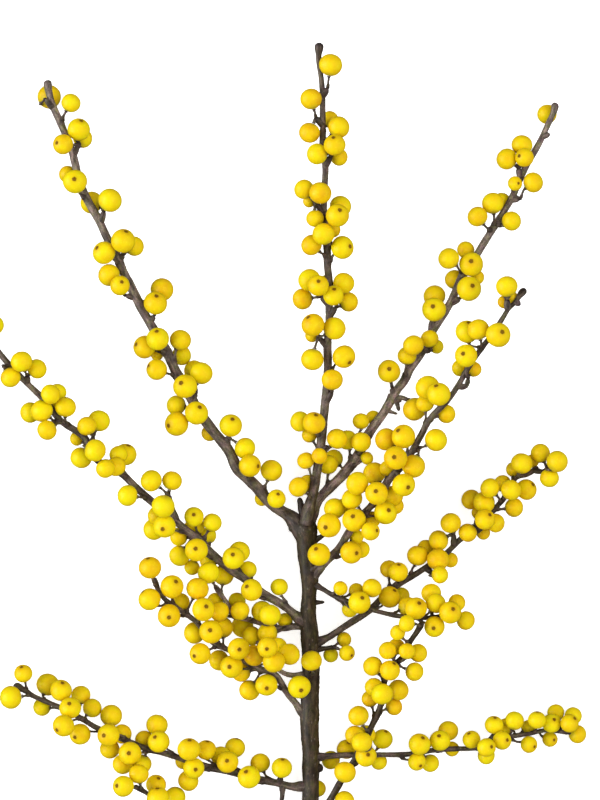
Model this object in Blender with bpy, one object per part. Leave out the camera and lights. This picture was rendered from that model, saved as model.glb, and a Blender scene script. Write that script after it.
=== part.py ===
"""Cut winterberry branch with yellow berries, lying on a flat surface.

The branch is laid out in the XY plane with its tip towards +Y and its cut end towards -Y.
Z is height above the surface. The routes and berries below were read by eye off the branch
against a millimetre grid: x from the stem's line, y up from where the picture starts.
"""
import math

import bpy
import bmesh
import numpy as np
from mathutils import Vector

MM = 0.001

# What the grid was read through: the eye is this far above the reading plane, over this point,
# so a part nearer the eye reads larger than it is.
EYE_RANGE = 2000.0
READING_HEIGHT = 15.0
EYE_X, EYE_Y = -4.0, 160.0

# The middle of the whole branch on the grid, which is where the part's origin lies.
MIDDLE_X, MIDDLE_Y = -14.3, 89.7

# Clearances and small sizes, in millimetres.
JOINT_GAP = 0.34
BERRY_GAP = 0.25
SPRAY_GAP = 0.8
STALK_WIDTH = 1.0
STALK_LENGTH = 3.4
SIDE_TWIG_WIDTH = 1.9
SOLID_SWELL = 1.05
REST_DEPTH = 0.8
SPINE_STEP = 2.0
RING_EVERY = 6
TWIG_SIDES = 6
STEM_SIDES = 10
BERRY_SIDES = 5
SMALL_BERRY = 7.7

# How far above its twig a berry would hang for each place, from resting to in front.
PLACE_RISE = (-9.0, -4.5, 0.5, 4.5)
SWEEPS = 400

# A stalk's line is judged against what is this near, by the room it needs beside each kind
# of thing and by how much a shortage counts.
NEIGHBOURHOOD = 26.0
LONGEST_STALK = 24.0
BERRY_ROOM, BERRY_WEIGHT = 0.75, 5.0
POST_ROOM, POST_WEIGHT = 0.9, 12.0

# Each spray: its route, the height of its middle and tip, its width at base and tip,
# the nodes it leaves, its short side twigs, and its berries.
# A berry is x, y, width and its place: 1 in front of the twig, 0 beside it, -1 behind it,
# and -2 behind it and resting on the surface. Two more numbers give where its dark apex is seen.
SPRAYS = {
    "main_stem": {
        "route": [(0, -120), (0.6, -90), (0.4, -60), (-0.3, -30), (0.2, 0), (0.3, 10),
                  (0.3, 20), (-0.2, 30), (0.2, 45), (0.4, 55), (0, 65), (-0.8, 75),
                  (-0.3, 85), (-0.2, 90), (-1, 97), (-1.3, 104), (-1.8, 109), (-2.0, 113)],
        "height": (3.7, 12.1, 20.5),
        "width": (7.7, 7.6, 7.5, 7.3, 7.0, 6.8, 6.7, 7.4, 7.2, 7.1, 7.2, 6.1, 6.1, 7.4, 7.6, 8.5,
                  9.3, 6.5),
        "from": (),
        "side": [[(-1, 101), (2.2, 104), (5.8, 106.3), (9, 109.5), (10.2, 112.5)],
                 [(0, 60), (5.5, 60.6), (9.5, 61.2)]],
        "berries": [
            (0.6, 55.7, 8.0, 1), (-4.3, 45.2, 8.8, 1, -3.5, 43.8), (2.8, 4.6, 6.8, -1),
            (3.6, 98.2, 8.8, 1, 2.3, 100.6), (8.3, 58, 5.8, -1), (13.6, 64.2, 5.8, -1),
            (14.8, 58.8, 6.2, 1, 16.8, 57.7), (7.6, 109.8, 9.2, 1, 6.1, 109),
            (9.8, 116.6, 8.2, 0), (13.4, 117.4, 6.2, -1)],
    },
    "leader": {
        "route": [(-1.6, 110), (-0.5, 116), (1.1, 122.3), (2.7, 131), (3.4, 136), (4.2, 141),
                  (5.2, 149), (5.9, 157), (6.7, 165), (7.2, 174), (7, 182), (7.6, 190),
                  (7.6, 198), (7.8, 206), (7, 214), (6.9, 221), (5.8, 230), (5.5, 236.5),
                  (5.9, 247), (6.2, 253), (5.1, 262), (5.2, 268), (5, 276), (5.1, 280),
                  (4.6, 288), (3.5, 296), (3.7, 303)],
        "height": (22.5, 31, 44),
        "width": (3.9, 2.1),
        "from": ("main_stem",),
        "side": [[(4.2, 140), (7.8, 141.2)], [(6.4, 159), (8.9, 163.5)],
                 [(7, 181), (3.4, 185.3)], [(7.6, 193), (10.4, 197.3)],
                 [(7.6, 198), (4.8, 201.5)], [(5.6, 235), (2, 239)],
                 [(6.2, 253.5), (8.4, 257.6)], [(5.1, 270), (2.4, 273)],
                 [(5, 281.5), (7.1, 284.8)]],
        "berries": [
            (-4.7, 125.2, 7.6, 1), (-0.9, 126.7, 6.8, -1),
            (3.8, 137.6, 6.2, 1), (-1.7, 135.7, 6.6, 0), (10.8, 144.5, 8, 0),
            (1.6, 150.8, 8.6, 1, 2.5, 154.2), (-4, 151.4, 7.8, 0),
            (-0.2, 146, 6, -1), (0.9, 176.2, 8.6, 1), (8.9, 168.1, 8.2, 1),
            (13.6, 177.3, 8.8, 1, 16, 174.8), (1.2, 190, 8.8, 1, -0.9, 193.3),
            (0.9, 186, 5.6, -1), (9.8, 188.7, 8.8, 1), (-3, 200.4, 8, 0),
            (-0.3, 208, 8.6, 0), (3.3, 205.8, 8, 1, 3.4, 207.6), (6, 206.8, 6, -1),
            (9.4, 201.8, 7.8, 1, 9.7, 204.5), (13.5, 206.8, 8.2, 0), (15.4, 199.3, 7.6, -1),
            (0.6, 222, 8, 1), (13, 221, 8.8, 1, 16.3, 221.5), (5.4, 226.4, 8.6, 1),
            (8.8, 228.2, 6.6, -1), (2, 232.6, 6.8, 0), (11, 233.8, 8.8, 1, 12, 236.1),
            (12.2, 237.4, 8.4, -1), (4.1, 242.8, 8.6, 1), (-2.4, 244.3, 7.6, 0),
            (-0.3, 239.6, 5, -1), (2.8, 258.4, 8, 1), (9.9, 262, 8.2, 1, 9.3, 265.2),
            (11.6, 257.2, 6.8, -1), (11.5, 269.2, 8.4, 0), (8, 272.2, 6.6, -1),
            (-0.2, 266.9, 8, 0), (0.4, 280.4, 8.2, 1), (8.3, 294, 8.8, 1)],
    },
    "upper_left_spray": {
        "route": [(-3, 106), (-7.2, 112.7), (-12.5, 116.3), (-17.2, 120.3), (-21.2, 125),
                  (-26.2, 129.7), (-29.3, 132.8), (-32.6, 140), (-39, 148), (-43.5, 154),
                  (-47.5, 160.7), (-50.5, 166), (-53.6, 171), (-57, 179), (-60, 184),
                  (-62.9, 189), (-67, 196), (-70.5, 203), (-75, 212), (-77.3, 218),
                  (-80.8, 224), (-84.5, 232), (-89, 240), (-92.3, 248), (-94.2, 256),
                  (-96, 262), (-99.5, 270), (-103, 278), (-104.6, 284), (-105, 288)],
        "height": (20, 17.5, 11.6),
        "width": (4.8, 2.7),
        "from": ("main_stem",),
        "side": [[(-33, 141), (-33.2, 145.5)], [(-47.3, 160), (-45.6, 162.8)],
                 [(-64.3, 191), (-62.2, 193.8)], [(-70, 201), (-73.9, 201.8)],
                 [(-76.6, 216), (-74.6, 218.2)], [(-83.8, 230.5), (-82.3, 235.6)],
                 [(-94.6, 258), (-92.3, 262.4)], [(-102.8, 277), (-105.9, 280.3)]],
        "berries": [
            (-13.4, 120.5, 7.2, 1, -12.7, 122.5), (-19.2, 120.6, 5.8, -1),
            (-15.4, 131.8, 8.5, 0), (-24, 133.7, 8.6, 1, -20.5, 133.5),
            (-26, 140.7, 8.2, 1), (-31.7, 149.8, 8.8, 0, -31, 152.5),
            (-40.2, 146.8, 6.4, -1), (-45.4, 154.8, 9, 1, -44, 157.3),
            (-53.4, 150.4, 9.2, 0, -56.9, 149.7), (-53.5, 157.9, 7.6, 0),
            (-50, 165.5, 9.2, 1, -51.7, 166.9), (-43.5, 170.7, 8.8, 0),
            (-46.3, 171.8, 8, -1), (-61.3, 172.2, 8.2, 1, -64.9, 173.8),
            (-51.4, 177.8, 7.6, -1), (-51.8, 184, 8.2, 0), (-61.2, 178.3, 5, -1),
            (-66.2, 181.2, 8.8, 0, -69.9, 182.3), (-60.9, 184.4, 8.8, 1, -61.4, 187.7),
            (-61.8, 198.8, 9, 1, -61.4, 201.8), (-59.2, 204.2, 9, -1),
            (-76, 205.8, 7.6, 1, -75.2, 207.3), (-80.4, 210, 8.6, 0),
            (-82.4, 218.9, 8.8, 1, -85.5, 221), (-74.7, 223.7, 9.4, 1, -73.5, 227.7),
            (-70.3, 221.5, 7.6, -1), (-80, 239.9, 9.2, 1), (-87.4, 239, 8.6, -1),
            (-94, 247.4, 9.2, 1, -94.3, 248.4), (-97, 250.3, 6.8, -1),
            (-98.8, 262.3, 7.8, 1, -101.5, 262.9), (-92.5, 268.2, 8.8, 1, -91.5, 272),
            (-90.9, 264.7, 7.6, -1), (-104.3, 281.3, 9.2, -2), (-95.6, 278.8, 7.4, 0)],
    },
    "upper_right_spray": {
        "route": [(-1, 110), (0.6, 115), (3.8, 120.7), (8.8, 125.7), (12.5, 129.3),
                  (15, 132.2), (17.7, 136), (20, 139.5), (23.7, 147), (28.9, 154),
                  (32.5, 160), (34.8, 164), (37.9, 168), (39.7, 172), (42.3, 176),
                  (44.6, 179.3), (47.5, 185), (51.3, 191), (55.8, 198.3), (58.7, 204.5),
                  (61.5, 211), (66.5, 217.8), (70.3, 224), (75.4, 232), (80.3, 240),
                  (84.7, 249.8), (87.6, 255.5), (92, 263.3), (95.3, 270.5), (97.8, 276),
                  (97.9, 279)],
        "height": (18.3, 18, 9.8),
        "width": (4.2, 2.3),
        "from": ("main_stem", "leader"),
        "side": [[(33.6, 161), (32.9, 165)], [(32.8, 159.6), (36.6, 161), (39.4, 159.8)],
                 [(45, 180), (48.5, 179.9)], [(48.6, 188), (48.9, 192.3)],
                 [(56.8, 199), (60.2, 200.8)], [(74.5, 230.6), (77.6, 230)],
                 [(80.6, 240.2), (84, 240.4)], [(84.2, 248.8), (83.3, 252.8)],
                 [(93, 265.5), (96, 266.4)]],
        "berries": [
            (7.2, 134.2, 7.8, 1), (9.4, 136.4, 7.4, 0), (15, 144, 7.8, 1),
            (20.4, 143.2, 7.8, 1), (20.4, 151.5, 6.4, 0),
            (25.3, 153, 5.6, -1), (22.8, 136.7, 5, 0), (31.6, 171.5, 8.8, 1, 31.7, 172.5),
            (41.8, 156.3, 9, 1), (38.8, 177.7, 7.2, 0), (41.3, 181.8, 8, 1),
            (47.9, 184.5, 6.9, 1), (50.6, 181.4, 5.6, -1), (49.6, 196.2, 9.2, 1, 49.1, 197.5),
            (49.8, 201.6, 8.4, -1), (57.9, 208.2, 7.6, -1), (63.6, 204.5, 9.4, 1, 65.1, 205.8),
            (64.5, 214.3, 9.3, 1, 64.4, 215.6), (67, 209, 5.4, -1), (55.5, 216.6, 8.2, 1),
            (62.3, 220, 6.8, -1), (67, 233.4, 7.8, 1), (73.1, 238.7, 8.4, 1),
            (76.7, 239.6, 6.6, -1), (80.6, 231.6, 7.6, 0), (82, 246.6, 5.6, 1, 83.5, 246.7),
            (89.3, 247, 7.8, 1), (78.7, 256.4, 8.2, 0), (84.8, 262, 8, 0),
            (85.8, 257, 7.2, 1, 83.5, 257.7), (94.8, 274.3, 7.6, -2)],
    },
    "right_spray": {
        "route": [(-0.5, 86), (2.1, 91), (5.5, 94.5), (8.8, 97.7), (12, 101), (14, 104.5),
                  (18.5, 111.5), (22.5, 115.5), (28.5, 122.5), (31, 127), (33.5, 130.5),
                  (36.5, 132.8), (39, 136), (42, 141.5), (45.2, 147.3), (46.9, 151),
                  (49.5, 154.3), (55.2, 160), (59.7, 166.6), (63.2, 172.8), (67.6, 179.3),
                  (73.3, 187), (77.9, 194), (79.3, 196.6), (82, 198.8), (84.6, 202.9),
                  (86.5, 204.3)],
        "height": (18.6, 34, 38),
        "width": (3.3, 1.8),
        "from": ("main_stem",),
        "side": [[(23, 116), (21.8, 113.6)], [(41.2, 140), (43.6, 140.8)],
                 [(59.2, 165.6), (62.4, 165.3), (63.3, 168.6)],
                 [(79.2, 196.4), (78.7, 200.4)], [(82.4, 199.4), (84.1, 197.8)]],
        "berries": [
            (16.5, 99, 8.6, 1, 18.8, 98.7), (20.6, 100.2, 6.6, -1),
            (24.2, 107.5, 7.2, 1, 27, 107.8), (17.6, 112, 9, 1, 17.1, 113.6),
            (25, 112.2, 6.4, -1), (18.6, 105.3, 5.6, -1), (30.2, 114.8, 8.8, 1, 31.6, 116),
            (26.7, 122.6, 8.8, 1, 26.3, 123.6), (18.9, 126.7, 8.8, 0), (16.8, 120.4, 8, 0),
            (33.2, 121.6, 8, -1), (34.3, 117.6, 6.4, -1), (37.5, 126, 8.8, 1, 39.4, 125),
            (25.7, 130.7, 8.6, -1), (31.2, 132.6, 6.4, -1), (34.2, 136.8, 9, 1, 33.6, 137.2),
            (41.5, 133.5, 9, 0), (30.4, 144.3, 8.6, -1), (37.4, 145.4, 9.2, 0, 35.1, 148),
            (50.4, 144, 8.8, 1), (54.6, 154.4, 7.2, -1), (47, 164.9, 9.4, 0),
            (51.5, 162.3, 9, 1, 50.4, 165.9), (46, 158.6, 6.8, -1),
            (62.4, 177.7, 8.6, 1, 61.1, 178.6), (60, 172.8, 6.4, -1), (65.5, 172.3, 6, -1),
            (62.8, 187.3, 8.8, 0, 63.5, 191.2), (67.3, 188.2, 8.2, 1),
            (75.3, 186, 9.4, 1, 77, 187.3), (78.7, 205.4, 8.2, 1), (80.8, 201, 4.8, -1),
            (77.6, 199.2, 5, -1)],
    },
    "middle_right_spray": {
        "route": [(0, 61), (3.5, 63.3), (7.8, 65.3), (11.8, 68), (16.8, 71.3), (20.8, 73.7),
                  (24.8, 76.7), (31, 83.2), (35.1, 86), (41.1, 89.6), (46.3, 93), (50.5, 96),
                  (54.8, 99), (59.8, 104), (63.5, 106.2), (67.8, 108), (70.3, 111),
                  (72.9, 115.3), (78.2, 121.3), (80.3, 125), (82.2, 129), (86.5, 130),
                  (89, 131.5), (91.3, 133.3)],
        "height": (16.6, 14.5, 16),
        "width": (2.9, 1.8),
        "from": ("main_stem",),
        "side": [[(46.3, 93), (48.8, 90.8)], [(57.6, 101.8), (57.5, 106.6)],
                 [(67.8, 108), (66.2, 110.4)], [(89.5, 132), (93.1, 131.3), (95.2, 132.3)]],
        "berries": [
            (31.8, 81.2, 8.4, 1, 34, 84), (36.5, 81.7, 6.6, -1),
            (35.3, 91.2, 7.6, 1, 35.6, 94.3), (31.6, 92.4, 7, 0), (43, 97.7, 8, 1),
            (46.3, 100.8, 6.6, -1), (51.4, 103.8, 7.8, 1), (51.2, 96.2, 8.6, 1),
            (52, 90, 6.6, 1), (56.3, 96, 5.8, -1), (56.3, 110.8, 8, 1), (63.1, 106.9, 7.2, 1),
            (69.3, 107, 5.6, -1), (70, 112.2, 8, 1, 72.1, 114.2), (74.3, 110.8, 7.2, 0),
            (67.2, 114.8, 5, -1), (69.6, 119, 8.4, 0, 70, 122.3), (64.5, 120.2, 7.8, -1),
            (72, 124.8, 7.6, 0), (77, 126.6, 6.6, -1), (80.4, 124, 8, 1),
            (86.6, 124.2, 8, 0, 89.4, 126.3), (81.6, 117, 7.4, 0), (84.7, 134.6, 8.2, 1),
            (81.5, 132.2, 6, -1), (88.8, 135.5, 5.4, -1), (92.1, 138.7, 7.6, 0),
            (98.9, 135.4, 8.4, 1), (95.8, 128.8, 7.4, 0)],
    },
    "small_right_spray": {
        "route": [(0, 87), (3.5, 85.3), (6.8, 83.3), (10.8, 81), (14.5, 79.7), (19.5, 78),
                  (24.5, 76.2), (32.1, 74.2), (38.1, 73.2), (46.6, 72.8), (51, 73.3),
                  (54.5, 74.4)],
        "height": (18.3, 27, 30),
        "width": (2.0, 1.7),
        "from": ("main_stem",),
        "side": [],
        "berries": [
            (12.2, 84.7, 5.6, 1), (18.5, 83.7, 6, -1), (19.8, 79, 8.6, 1, 21, 81),
            (24.8, 84.8, 7.4, 0), (16, 76.3, 6.4, -1), (42.4, 76.6, 8.6, 1, 43.8, 78.9),
            (39.2, 77.2, 7.8, -1), (48.5, 82.7, 7.6, -1), (50.3, 78.7, 7.8, 0),
            (56.1, 75, 8.6, 1, 57.3, 76.5), (58.8, 79, 6.6, -1), (62.3, 71.8, 7.2, -1),
            (49.8, 69.3, 8, 1, 49.4, 68.7)],
    },
    "lower_right_spray": {
        "route": [(0.5, -13), (4.5, -5.5), (8.1, 0), (12.5, 7.7), (17.5, 15.3), (21.5, 22.5),
                  (24.8, 29.7), (27.8, 36.3), (29, 42), (29.9, 48), (32.8, 53.5),
                  (36.6, 56.5), (38.3, 60), (40.2, 63.5), (43.1, 67.7), (45, 71.2)],
        "height": (11.6, 22, 38),
        "width": (2.8, 2.1),
        "from": ("main_stem",),
        "side": [],
        "berries": [
            (38.7, 70.6, 6.4, 1), (35.1, 67, 6, 1), (31.1, 59.8, 7, 1), (34.6, 61.3, 6.5, -1),
            (38.8, 59.5, 6.4, 1), (43.3, 58.8, 7.2, -1), (25.1, 53.5, 7.6, 1),
            (32, 51.8, 7.8, 1, 33.8, 54.7), (41.8, 51.3, 7.2, 0), (25.5, 45.3, 7, 0),
            (35.4, 44, 8, -1), (28.8, 42.4, 8.4, 1), (24, 40.5, 6.6, -1),
            (33.6, 37.3, 6.6, -1), (19.4, 33.7, 8, 0), (17.8, 26, 7.4, 0),
            (22.4, 26.2, 7.4, -1), (20.8, 23, 8, 1), (14, 11.1, 8.4, 1),
            (22.4, 17.6, 8.2, 1, 23.3, 18.2), (13.9, -0.4, 7.8, 0)],
    },
    "low_right_spray": {
        "route": [(0, 16.5), (4, 17.3), (12, 17.9), (18.1, 18), (26.8, 18.1), (39.5, 18.3),
                  (49.8, 20), (58.8, 20.5), (66.1, 20.8), (73, 23), (80.1, 25.3),
                  (88.1, 26.5), (93.1, 27.8), (100.1, 27.4), (103.6, 26.8)],
        "height": (13.7, 13.5, 9),
        "width": (2.4, 1.6),
        "from": ("main_stem",),
        "side": [[(71, 22.3), (73.8, 26.3)], [(98.5, 27.6), (101, 29.4)]],
        "berries": [
            (8.3, 16, 7.2, -1), (14.6, 20.3, 7.6, -1, 15.5, 23),
            (29.1, 24.4, 7.8, 0, 30.5, 27.5),
            (27.6, 15.3, 6.4, -1), (43.8, 22.3, 8.4, 1, 45.3, 25),
            (42.8, 15.3, 7, 1, 44.3, 13.5), (48.1, 14.7, 7, -1),
            (52, 23.8, 8, 1, 51.6, 25.8), (55.3, 27.7, 7.8, -1), (56.8, 20.4, 5.8, -1),
            (64.6, 24.2, 7, 0, 63.5, 26.7), (70.6, 21, 7.2, 1, 72.8, 21.3),
            (70.5, 17.7, 6.8, -1), (73.6, 30, 7.2, 0, 74.1, 33),
            (76.8, 23.8, 7.2, 1, 79.1, 24), (77.1, 28.2, 5.5, -1), (78.3, 29.4, 6.4, -1),
            (81.8, 31.7, 7.4, 1), (87.6, 22.2, 6.6, 0, 90, 21.2), (87.5, 29, 6, -1),
            (90.8, 32, 7, 1, 91.1, 35.3), (96.6, 30.7, 7.4, 1, 97.8, 32.3),
            (98.3, 35, 6.6, -1), (96, 24.3, 6, -1, 97.8, 24),
            (103.8, 30.7, 7.2, 1, 106.1, 32.7), (105.3, 33.7, 6.8, -1),
            (107, 26.3, 7, -2)],
    },
    "middle_left_spray": {
        "route": [(-1, 70), (-4.5, 72.7), (-7.9, 75.7), (-11.9, 78.7), (-18.9, 82.7),
                  (-26.5, 88.7), (-32.9, 93), (-39.9, 99.3), (-44.2, 104.2), (-48.5, 107),
                  (-51.9, 110), (-57.5, 114.5), (-63.2, 119.3), (-70.2, 125.7),
                  (-74.9, 130.3), (-79.5, 133), (-84.8, 135.5), (-87.8, 139.5),
                  (-89.3, 144), (-92.5, 147), (-97.1, 149.8), (-100, 152), (-104.5, 158),
                  (-107.5, 161.3), (-113.3, 166.8), (-119.5, 173.2), (-124, 178.5),
                  (-128, 184), (-131.5, 190), (-132.5, 194)],
        "height": (17.3, 25, 30),
        "width": (3.5, 2.3),
        "from": ("main_stem",),
        "side": [[(-53, 110.9), (-56.5, 122)], [(-87.9, 140.5), (-86.6, 145.6)],
                 [(-99.5, 151.6), (-102.6, 151.4)], [(-113.3, 166.8), (-113.2, 170)],
                 [(-118.5, 172.2), (-122.8, 173.8)]],
        "berries": [
            (-12.3, 85.2, 6.8, 0), (-23.4, 84, 8.4, 1, -25.4, 85.5), (-24.9, 92, 7, -1),
            (-30.6, 96.8, 8.6, 1, -30.9, 98.3), (-28.2, 99.3, 8.2, -1),
            (-45.4, 100, 8.8, 1, -45.8, 100.6), (-52.2, 97.7, 8, -1), (-47.2, 93, 6, -1),
            (-52.5, 105.3, 7, -1), (-40.6, 96, 7, -1), (-40.7, 105.8, 6.4, -1), (-39, 111, 7.2, 0),
            (-46.4, 113.3, 7.6, 0, -46.5, 114.2), (-46.2, 109.3, 7.8, -1),
            (-58.2, 109.5, 8.8, 1, -59, 108.3), (-62.5, 108.2, 8.2, -1),
            (-58.7, 117.5, 8.8, 1), (-61.2, 113.6, 7.4, -1), (-55.2, 127.7, 7.6, 0),
            (-63.5, 127.7, 8.4, 1),
            (-73, 121.8, 8, 1), (-81.8, 132.6, 7.4, 1), (-77.6, 133.4, 7.6, 0),
            (-73.8, 138.2, 8.6, -1, -72.6, 142), (-76.6, 138.2, 7, -1),
            (-85.9, 139.8, 8.4, 1), (-91.6, 136.9, 8.2, 0), (-93.2, 144.6, 5.6, -1),
            (-89.3, 149.6, 7.4, 1), (-84.3, 151.7, 8.4, 0), (-97.8, 157.2, 8, 1),
            (-103.8, 162.3, 7.6, 1), (-101, 163, 7, -1), (-107.3, 155.7, 8.6, 1),
            (-111.9, 155, 8, 0), (-103.2, 157.8, 6.6, -1), (-105.2, 148, 7.6, 1),
            (-119.8, 169, 7.8, 1), (-115.4, 175.3, 8.2, 1), (-109.2, 172.5, 7.6, 0),
            (-126.5, 190, 7.8, 1), (-134.6, 185.5, 8, 0), (-136.8, 193.6, 8, -1),
            (-130.6, 198.6, 8.4, 1)],
    },
    "inner_left_spray": {
        "route": [(-1.5, 69.8), (-4.5, 69.5), (-8, 69), (-12.5, 68.5), (-18, 70.2),
                  (-24.5, 72.2), (-31, 73.6), (-32.4, 77.7), (-34.7, 80.9), (-38.2, 86)],
        "height": (14.8, 18, 19),
        "width": (2.3, 1.8),
        "from": ("main_stem", "middle_left_spray"),
        "side": [],
        "berries": [
            (-40.6, 90.8, 8.4, 1), (-34.6, 90, 8, -1),
            (-37.9, 79.6, 6.4, -1), (-36.2, 75.4, 7.8, 0), (-29.2, 79.7, 6.6, -1),
            (-28, 75.7, 7.4, 1), (-27, 69.4, 8.6, -1),
            (-23.4, 65.7, 7.6, 0), (-19.4, 75.6, 8, 0), (-16, 74, 8.4, 1),
            (-17, 66.6, 8, 1), (-10, 71.8, 6, -1)],
    },
    "lower_left_spray": {
        "route": [(-1, 32), (-3.9, 36), (-6.2, 39.3), (-9.2, 42.8), (-11.9, 47.6),
                  (-14.2, 50.6), (-18.5, 51.9), (-21.5, 52.9), (-25, 54.8), (-29, 57.8),
                  (-33, 60.2), (-38.2, 62.6), (-41.8, 66.5), (-45.2, 71), (-51, 75.3),
                  (-57, 79.3), (-60.3, 83), (-61.5, 86.7), (-62.4, 89)],
        "height": (14.8, 22, 26),
        "width": (2.8, 1.8),
        "from": ("main_stem",),
        "side": [],
        "berries": [
            (-64, 92.9, 8.6, 1, -64.9, 96.8), (-64.2, 80.3, 8.6, 1, -67.4, 83.8),
            (-56.4, 73.7, 8.8, 1, -56.4, 73), (-55.2, 85.3, 9, 1, -53.5, 87.5),
            (-51.9, 79, 7.4, -1), (-45, 84.5, 8.6, 0), (-42.6, 76.2, 8.8, 1, -41.4, 77.5),
            (-46.2, 66.9, 8.4, -1), (-39.6, 67.3, 9, 1, -40, 68), (-35.2, 69, 8.5, -1),
            (-44, 58.5, 8.2, 1, -46.5, 57.5), (-36.4, 55.9, 8, -1),
            (-31.4, 53.3, 8.8, 1, -32.3, 53.3), (-27.6, 51.2, 7.6, -1),
            (-28.5, 60.5, 8.4, 1, -28.2, 60.2), (-24.2, 43.9, 8, -1),
            (-17.4, 46, 8.4, 1, -17.3, 44.6)],
    },
    "short_left_spray": {
        "route": [(-0.5, 50), (-3.5, 50), (-8, 49.9), (-12, 51.6), (-15.5, 55.5),
                  (-18.5, 60), (-21, 63)],
        "height": (15.8, 24, 33),
        "width": (2.2, 1.7),
        "from": ("main_stem",),
        "side": [],
        "berries": [
            (-22.4, 57.8, 8.2, -1, -20.5, 60.2), (-17, 61, 7.8, 1, -17.3, 60.4),
            (-14.5, 55.3, 8.4, 0, -14.7, 58.7), (-12.6, 61.6, 6.6, -1),
            (-8.2, 58.3, 8.2, 0)],
    },
    "low_left_spray": {
        "route": [(-0.5, 5.6), (-3.5, 5.5), (-7.2, 5.4), (-13.9, 7), (-19.2, 8), (-29.5, 10.7),
                  (-41.2, 13.3), (-51.2, 16.5), (-57.9, 18.7), (-66.5, 20.9), (-73.5, 23.8),
                  (-85.5, 29), (-92, 33), (-101.5, 37.7), (-110.1, 41.3), (-115.4, 44.6),
                  (-118.6, 46)],
        "height": (12.8, 15.5, 10.2),
        "width": (3.1, 1.8),
        "from": ("main_stem",),
        "side": [[(-11, 6.3), (-11.3, 0), (-13.2, -6)], [(-12.2, 6.6), (-11.7, 9.6)]],
        "berries": [
            (-119.7, 41, 8.8, 1), (-114.7, 50.6, 7.1, 0, -115.5, 53.3), (-107.2, 37.2, 7, -1),
            (-104.9, 46.2, 8.8, -2), (-99.6, 43.9, 8.4, 1, -99, 47),
            (-95.9, 36.8, 8.4, 1, -96.3, 38.7), (-91.6, 42, 7.4, -1), (-87.1, 36.8, 7.4, -1),
            (-98.6, 29.7, 8.4, 1, -101.5, 27.8), (-92, 26.3, 8.2, 0, -94.2, 25),
            (-79.5, 33.8, 8.6, -1), (-80.6, 26, 8.6, 1, -82.6, 25.8), (-75.2, 26.4, 7.6, -1),
            (-80.1, 20.4, 7.6, -1), (-72, 18.7, 8.8, 1, -72.5, 18.8), (-75, 14.3, 7.8, 0),
            (-67.3, 14.4, 7.6, -1), (-61.2, 30, 8.4, -1), (-60.5, 23.3, 8.4, 1, -62.2, 25.3),
            (-66.4, 24.2, 7, -1),
            (-48.4, 20.3, 8.8, 1, -48.2, 24), (-41.5, 20, 7.8, -1, -41, 23.5),
            (-46.5, 12.7, 8.2, 1, -45.7, 12.2), (-48.7, 7.7, 8, 0), (-50.6, 15.6, 6.4, -1),
            (-35.8, 17.6, 7.6, -1), (-33, 15.2, 8.4, 1, -33.2, 15.8),
            (-29.9, 21, 7.8, -1, -29.2, 24.7), (-24.4, 9.2, 8.8, 1, -25.7, 11.5),
            (-19.9, 14.8, 7.6, -1), (-11.3, 12.9, 8, 0, -11, 16.3), (-16.5, -9.2, 8, 1),
            (-9.6, -7.6, 7.4, 0)],
    },
    "bottom_left_spray": {
        "route": [(0, -28), (-4, -25.2), (-16, -20.5), (-30, -15.5), (-44, -8.5),
                  (-55, -3.2), (-65.2, 2.7), (-70.5, 5.7)],
        "height": (10.4, 17, 22),
        "width": (2.5, 1.8),
        "from": ("main_stem",),
        "side": [],
        "berries": [
            (-74.7, 5.5, 8.2, 1, -77.5, 5.7), (-68.5, 10.4, 7.6, 1),
            (-61.6, 6.2, 7.8, -1, -60.5, 8.8), (-60.8, 0.8, 8.6, 1, -61.2, 4.7),
            (-53.9, 1.3, 8, -1), (-46.5, -13.6, 8.2, 1), (-40.5, -4.4, 8, 0),
            (-33, -20.4, 8.4, 0), (-26, -10.6, 8, 1), (-19, -25.6, 7.8, -1)],
    },
}


def seen_to_true(x, y, z):
    """Where a point that reads at x, y lies when it is z above the surface."""
    nearer = 1 - (z - READING_HEIGHT) / EYE_RANGE
    return EYE_X + (x - EYE_X) * nearer, EYE_Y + (y - EYE_Y) * nearer


def smooth_route(points, step):
    """Even steps along a curve through the given points, as rows of x and y."""
    points = [np.array(p, dtype=float) for p in points]
    ends = [2 * points[0] - points[1]] + points + [2 * points[-1] - points[-2]]
    curve = []
    for a, b, c, d in zip(ends, ends[1:], ends[2:], ends[3:]):
        for t in np.arange(0, 1, 0.125):
            curve.append(0.5 * (2 * b + (c - a) * t + (2 * a - 5 * b + 4 * c - d) * t ** 2
                                + (3 * b - a - 3 * c + d) * t ** 3))
    curve.append(points[-1])
    curve = np.array(curve)
    along = np.concatenate([[0], np.cumsum(np.linalg.norm(np.diff(curve, axis=0), axis=1))])
    count = max(2, int(round(along[-1] / step)) + 1)
    even = np.linspace(0, along[-1], count)
    return np.stack([np.interp(even, along, curve[:, i]) for i in (0, 1)], axis=1)


def level(heights, t):
    """Height at a share t of the way, through the base, middle and tip heights."""
    base, middle, tip = heights
    return base * (1 - t) * (1 - 2 * t) + middle * 4 * t * (1 - t) + tip * t * (2 * t - 1)


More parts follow.
